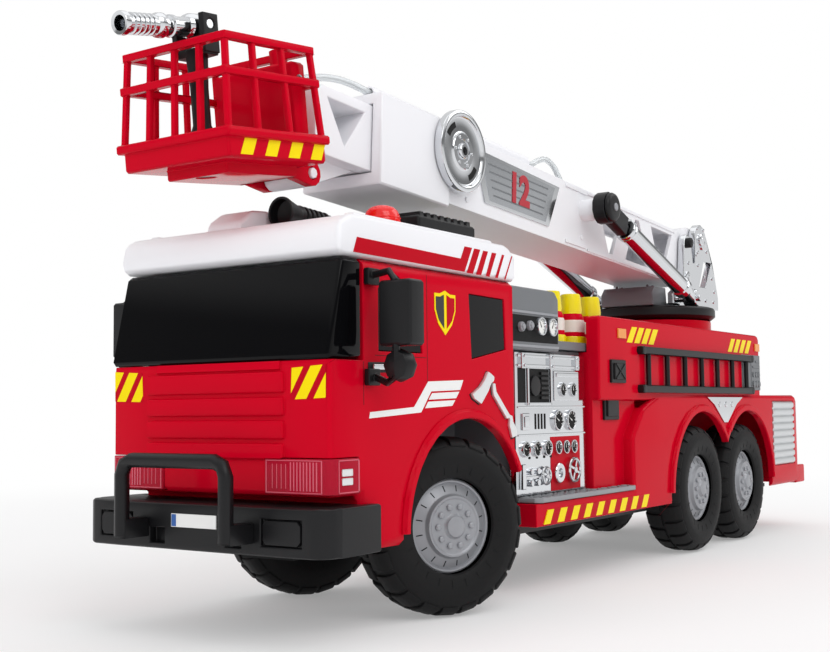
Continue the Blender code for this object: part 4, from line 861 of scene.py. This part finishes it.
# The plate's brushed skin dulls its shine, and the number on it is a flat red print.
plate_steel = moulded("brushed_plated_plate", "C6C9CD", 0.22, 0.7, relief=0.1, metallic=1.0)
number_red = moulded("red_number_print", "B8152B", 0.3, 2.0, relief=0.02)
TRAPEZE = [(217, -4.4), (316, -2.4), (304, -31), (230, -31)]
for side_name, side in SIDES:
    cheek = BOOM @ on_side(side, 22)
    border = slab(TRAPEZE, 0, 0.9, 0.3)
    inner = painted(slab(shrunk(TRAPEZE, 6.5), 0.7, 1.1), 1)
    hatch = []
    for i in range(5):
        v = -8.6 - 4.2 * i
        hatch.append(painted(block((232 + 1.6 * i, v - 0.5, 1), (302 - 1.6 * i, v + 0.5, 1.16)), 2))
    plate = joined(border, inner, *hatch)
    piece(f"boom_number_plate_{side_name}", plate, [chrome, plate_steel, grey], "boom", cheek)
    text = bpy.data.curves.new("number", "FONT")
    text.body = "12"
    text.size = 24
    text.align_x = "CENTER"
    text.align_y = "CENTER"
    text.extrude = 0.15
    text.offset = 0.9
    holder = bpy.data.objects.new("number", text)
    scene.collection.objects.link(holder)
    bpy.context.view_layer.update()
    drawn = bpy.data.meshes.new_from_object(holder.evaluated_get(bpy.context.evaluated_depsgraph_get()))
    bpy.data.objects.remove(holder)
    shape = bmesh.new()
    shape.from_mesh(drawn)
    bmesh.ops.remove_doubles(shape, verts=shape.verts, dist=1e-3)
    facing = Matrix.Diagonal((-1 if side > 0 else 1, 1, 1, 1))
    moved(shape, at(267, -17, 1.3) @ facing)
    piece(f"boom_number_{side_name}", shape, number_red, "boom", cheek)
    ribs = [block((180, -36.6, -0.2), (208, -34.4, 0.8), 0.3), block((180, -1.6, -0.2), (208, 0.6, 0.8), 0.3),
            block((24, -37.6, -0.2), (178, -35.8, 0.8), 0.3), block((36, -0.8, -0.2), (178, 0.9, 0.8), 0.3)]
    bolts = [moved(disc(1.5, -0.1, 0.9, 0.4, 16), at(u, v))
             for u, v in ((186, -30), (186, -8), (322, -33), (352, -33), (352, -1.6))]
    piece(f"boom_ribs_{side_name}", joined(*ribs, *bolts), white, "boom", cheek)

HUB = BOOM @ on_side(1, 0) @ at(336.5, -10.5, 25.3)
wheel = lathe([(0, 3.2), (2.1, 3.2), (2.3, 4.6), (3.6, 4.6), (4.2, 4), (4.4, 3.2), (6.2, 3.2), (6.4, 3.7),
               (9.4, 3.7), (9.9, 3.2), (10.8, 2.7), (17.6, 2.7), (18.4, 3.2), (18.9, 4.3), (19.6, 4.6),
               (21, 4.6), (21.8, 4), (22, 3.2), (22, 0.1), (0, 0.1)], 72)
# The dark centre disc and the two dark crescents are painted shade, standing in for the hub's hollow and two
# slots in the face.
spots = [painted(disc(2.1, 3.1, 3.4, steps=20), 1)]
for i in range(6):
    turn_by = 2 * pi * i / 6
    spots.append(moved(disc(0.85, 3.5, 4.2, 0.3, 14), at(7.9 * cos(turn_by), 7.9 * sin(turn_by))))
for i in range(2):
    gap = bmesh.new()
    points = [gap.verts.new((radius, 0, 2.75)) for radius in (13.2, 16.2)]
    bmesh.ops.spin(gap, geom=points + [gap.edges.new(points)], cent=(0, 0, 0), axis=(0, 0, 1),
                   angle=radians(36), steps=10)
    bmesh.ops.rotate(gap, cent=(0, 0, 0), matrix=Matrix.Rotation(radians(25 + 180 * i), 3, "Z"),
                     verts=gap.verts)
    spots.append(painted(thickened(gap, 0.12), 1))
wheel_piece = piece("winding_wheel_ringed", joined(wheel, *spots), [chrome, dark], "winding_wheel",
                    HUB)
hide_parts("winding_wheel")

# Water hose: a clear soft PVC tube that arches out of the boom, slides in the guide and ends at the basket.
# The clear wall takes a pale edge from the light. Its free front stretch is left on no body.
hose_pvc = moulded("clear_soft_pvc", "EEF2F4", 0.12, 4.0, relief=0.02, drift=0.03)
hose_pvc.node_tree.nodes["Principled BSDF"].inputs["Transmission Weight"].default_value = 0.6
HOSE_Y = 10


def hose_tube(route, radius=1.8, fine=5, sides=12):
    """A round tube along a smooth line through (u, v) points beside the boom's middle."""
    points = [Vector((u, HOSE_Y, v)) for u, v in route]
    ends = [2 * points[0] - points[1], *points, 2 * points[-1] - points[-2]]
    line = []
    for a, b, c, d in zip(ends, ends[1:], ends[2:], ends[3:]):
        for t in (i / fine for i in range(fine)):
            line.append(b + 0.5 * t * (c - a + t * (2 * a - 5 * b + 4 * c - d + t * (3 * b - a - 3 * c + d))))
    line.append(points[-1])
    shape = bmesh.new()
    loops = []
    for i, spot in enumerate(line):
        along = (line[min(i + 1, len(line) - 1)] - line[max(i - 1, 0)]).normalized()
        sideways = Vector((0, 1, 0))
        place = Matrix((sideways.cross(along), sideways, along)).transposed().to_4x4()
        place.translation = spot
        ring = bmesh.ops.create_circle(shape, cap_ends=spot in (line[0], line[-1]), segments=sides,
                                       radius=radius, matrix=place)["verts"]
        loops.append(list(dict.fromkeys(edge for vert in ring for edge in vert.link_edges)))
    for low, high in zip(loops, loops[1:]):
        bmesh.ops.bridge_loops(shape, edges=low + high)
    bmesh.ops.recalc_face_normals(shape, faces=shape.faces)
    return shape


in_guide = [(274 + 11.8 * i, 8) for i in range(10)]
front_route = in_guide + [(392, 8), (404, 8.4), (416, 8.2), (428, 6.4), (440, 3), (459.2, -4)]
rear_route = [(237.7, 8), (230, 9), (222, 13), (212, 16), (202, 14), (194, 8), (190, 3.4)]
front_hose = piece("hose_front_smooth", hose_tube(front_route), hose_pvc, None, BOOM, 60)
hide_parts("hose_front")
rear_hose = piece("hose_rear_smooth", hose_tube(rear_route), hose_pvc, "boom", BOOM, 60)
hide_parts("hose_rear")
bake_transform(front_hose)

# Lift cylinders: chrome plated barrels with end rings, and black rods whose knuckles hook over the boom's
# pins on each side.
COLLAR = ((6.8, 0), (7.4, 0.6), (7.4, 2.4), (6.9, 2.8), (6.9, 3.6), (7.4, 4), (7.4, 5.6), (6.8, 6.2),
          (6.4, 7))
for side_name, side in SIDES:
    foot, length = Vector((-169, side * 37, 174)), hypot(141, 47)
    along = at(*foot) @ about(-radians(18.435), "Y")
    mouth = length - 30
    tube_profile = [(0, 34), (4.2, 34), (4.2, mouth)]
    tube_profile += [(radius, mouth - back) for radius, back in COLLAR]
    tube_profile += [(6.4, 24), (7.2, 23.4), (7.2, 18), (6.4, 17.4), (6.2, 15.8), (5, 12.4), (5, 4), (0, 4)]
    barrel = moved(lathe(tube_profile, 40), FORWARDS)
    eye = moved(lathe([(0, 4.8), (5.4, 4.8), (5.9, 4.2), (5.9, -4.2), (5.4, -4.8), (0, -4.8)], 32), ACROSS)
    made = piece(f"cylinder_barrel_{side_name}_plated", joined(barrel, eye), chrome,
                 f"cylinder_barrel_{side_name}", along, 32)
    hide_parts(f"cylinder_barrel_{side_name}")
    dressed(f"cylinder_rod_{side_name}", black, soft=0.4)
    cap = lathe([(0, 2.6), (6.6, 2.6), (8.4, 2), (9.2, 0.8), (9.2, -0.3), (0, -0.3)], 36)
    bolt = painted(lathe([(0, 3.6), (2, 3.6), (2.5, 3.2), (2.5, 2.5), (0, 2.5)], 24), 1)
    piece(f"cylinder_pin_cap_{side_name}", joined(cap, bolt), [black, silver], "boom",
          on_side(side, 41.9) @ at(-28, 221))

# Basket: a red cage on a tray with a rolled rim. Its floor carries the monitor, a black post with a fork
# that holds a chrome plated nozzle.
BASKET = at(233, 0, 205) @ about(radians(6.5), "Y")
dressed("basket", red, soft=0.5, crease=46)
for side_name, side in SIDES:
    bars = [film([(u - 3.4, 10.2), (u + 4, 10.2), (u + 7.4, 3.2), (u, 3.2)]) for u in (13, 28, 43, 58)]
    piece(f"basket_hazard_bars_{side_name}", joined(*bars), yellow_print, "basket",
          BASKET @ on_side(side, 31))
piece("basket_box_screw", screw(2.2), [steel, slot_shade_and_dark_print], "basket",
      BASKET @ on_side(1, 24) @ at(15.5, 40))

POST = BASKET @ at(54, 0, 0)
dressed("monitor_post", black, soft=0.3)
NOZZLE = POST @ at(0, 0, 62) @ about(radians(5.5), "Y")
bore = [(0, 33.6), (2.4, 33.8), (3.2, 42.6), (4.6, 42.9), (4.9, 42.3), (4.9, 40.4), (4.1, 39.4)]
for i in range(5):
    ring = 37.6 - 2.6 * i
    bore += [(4, ring), (4.6, ring - 0.3), (4.6, ring - 1.1), (4, ring - 1.4)]
bore += [(4, 24), (5.1, 22.6), (5.3, 20), (4.4, 18), (4.2, 16), (4.8, 15.4), (4.8, 13.6), (4.2, 13),
         (4.2, 6.4), (5.2, 5.4), (5.9, 3.4), (5.9, 0), (6, -5.6), (5.2, -7.4), (3.4, -8.4), (0, -8.8)]
trunnion = moved(lathe([(0, 9.1), (1.9, 9.1), (1.9, -9.1), (0, -9.1)], 24), ACROSS)
nozzle = piece("monitor_nozzle_ringed", joined(moved(lathe(bore, 40), FORWARDS), trunnion), chrome,
               "monitor_nozzle", NOZZLE, 34)
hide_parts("monitor_nozzle")
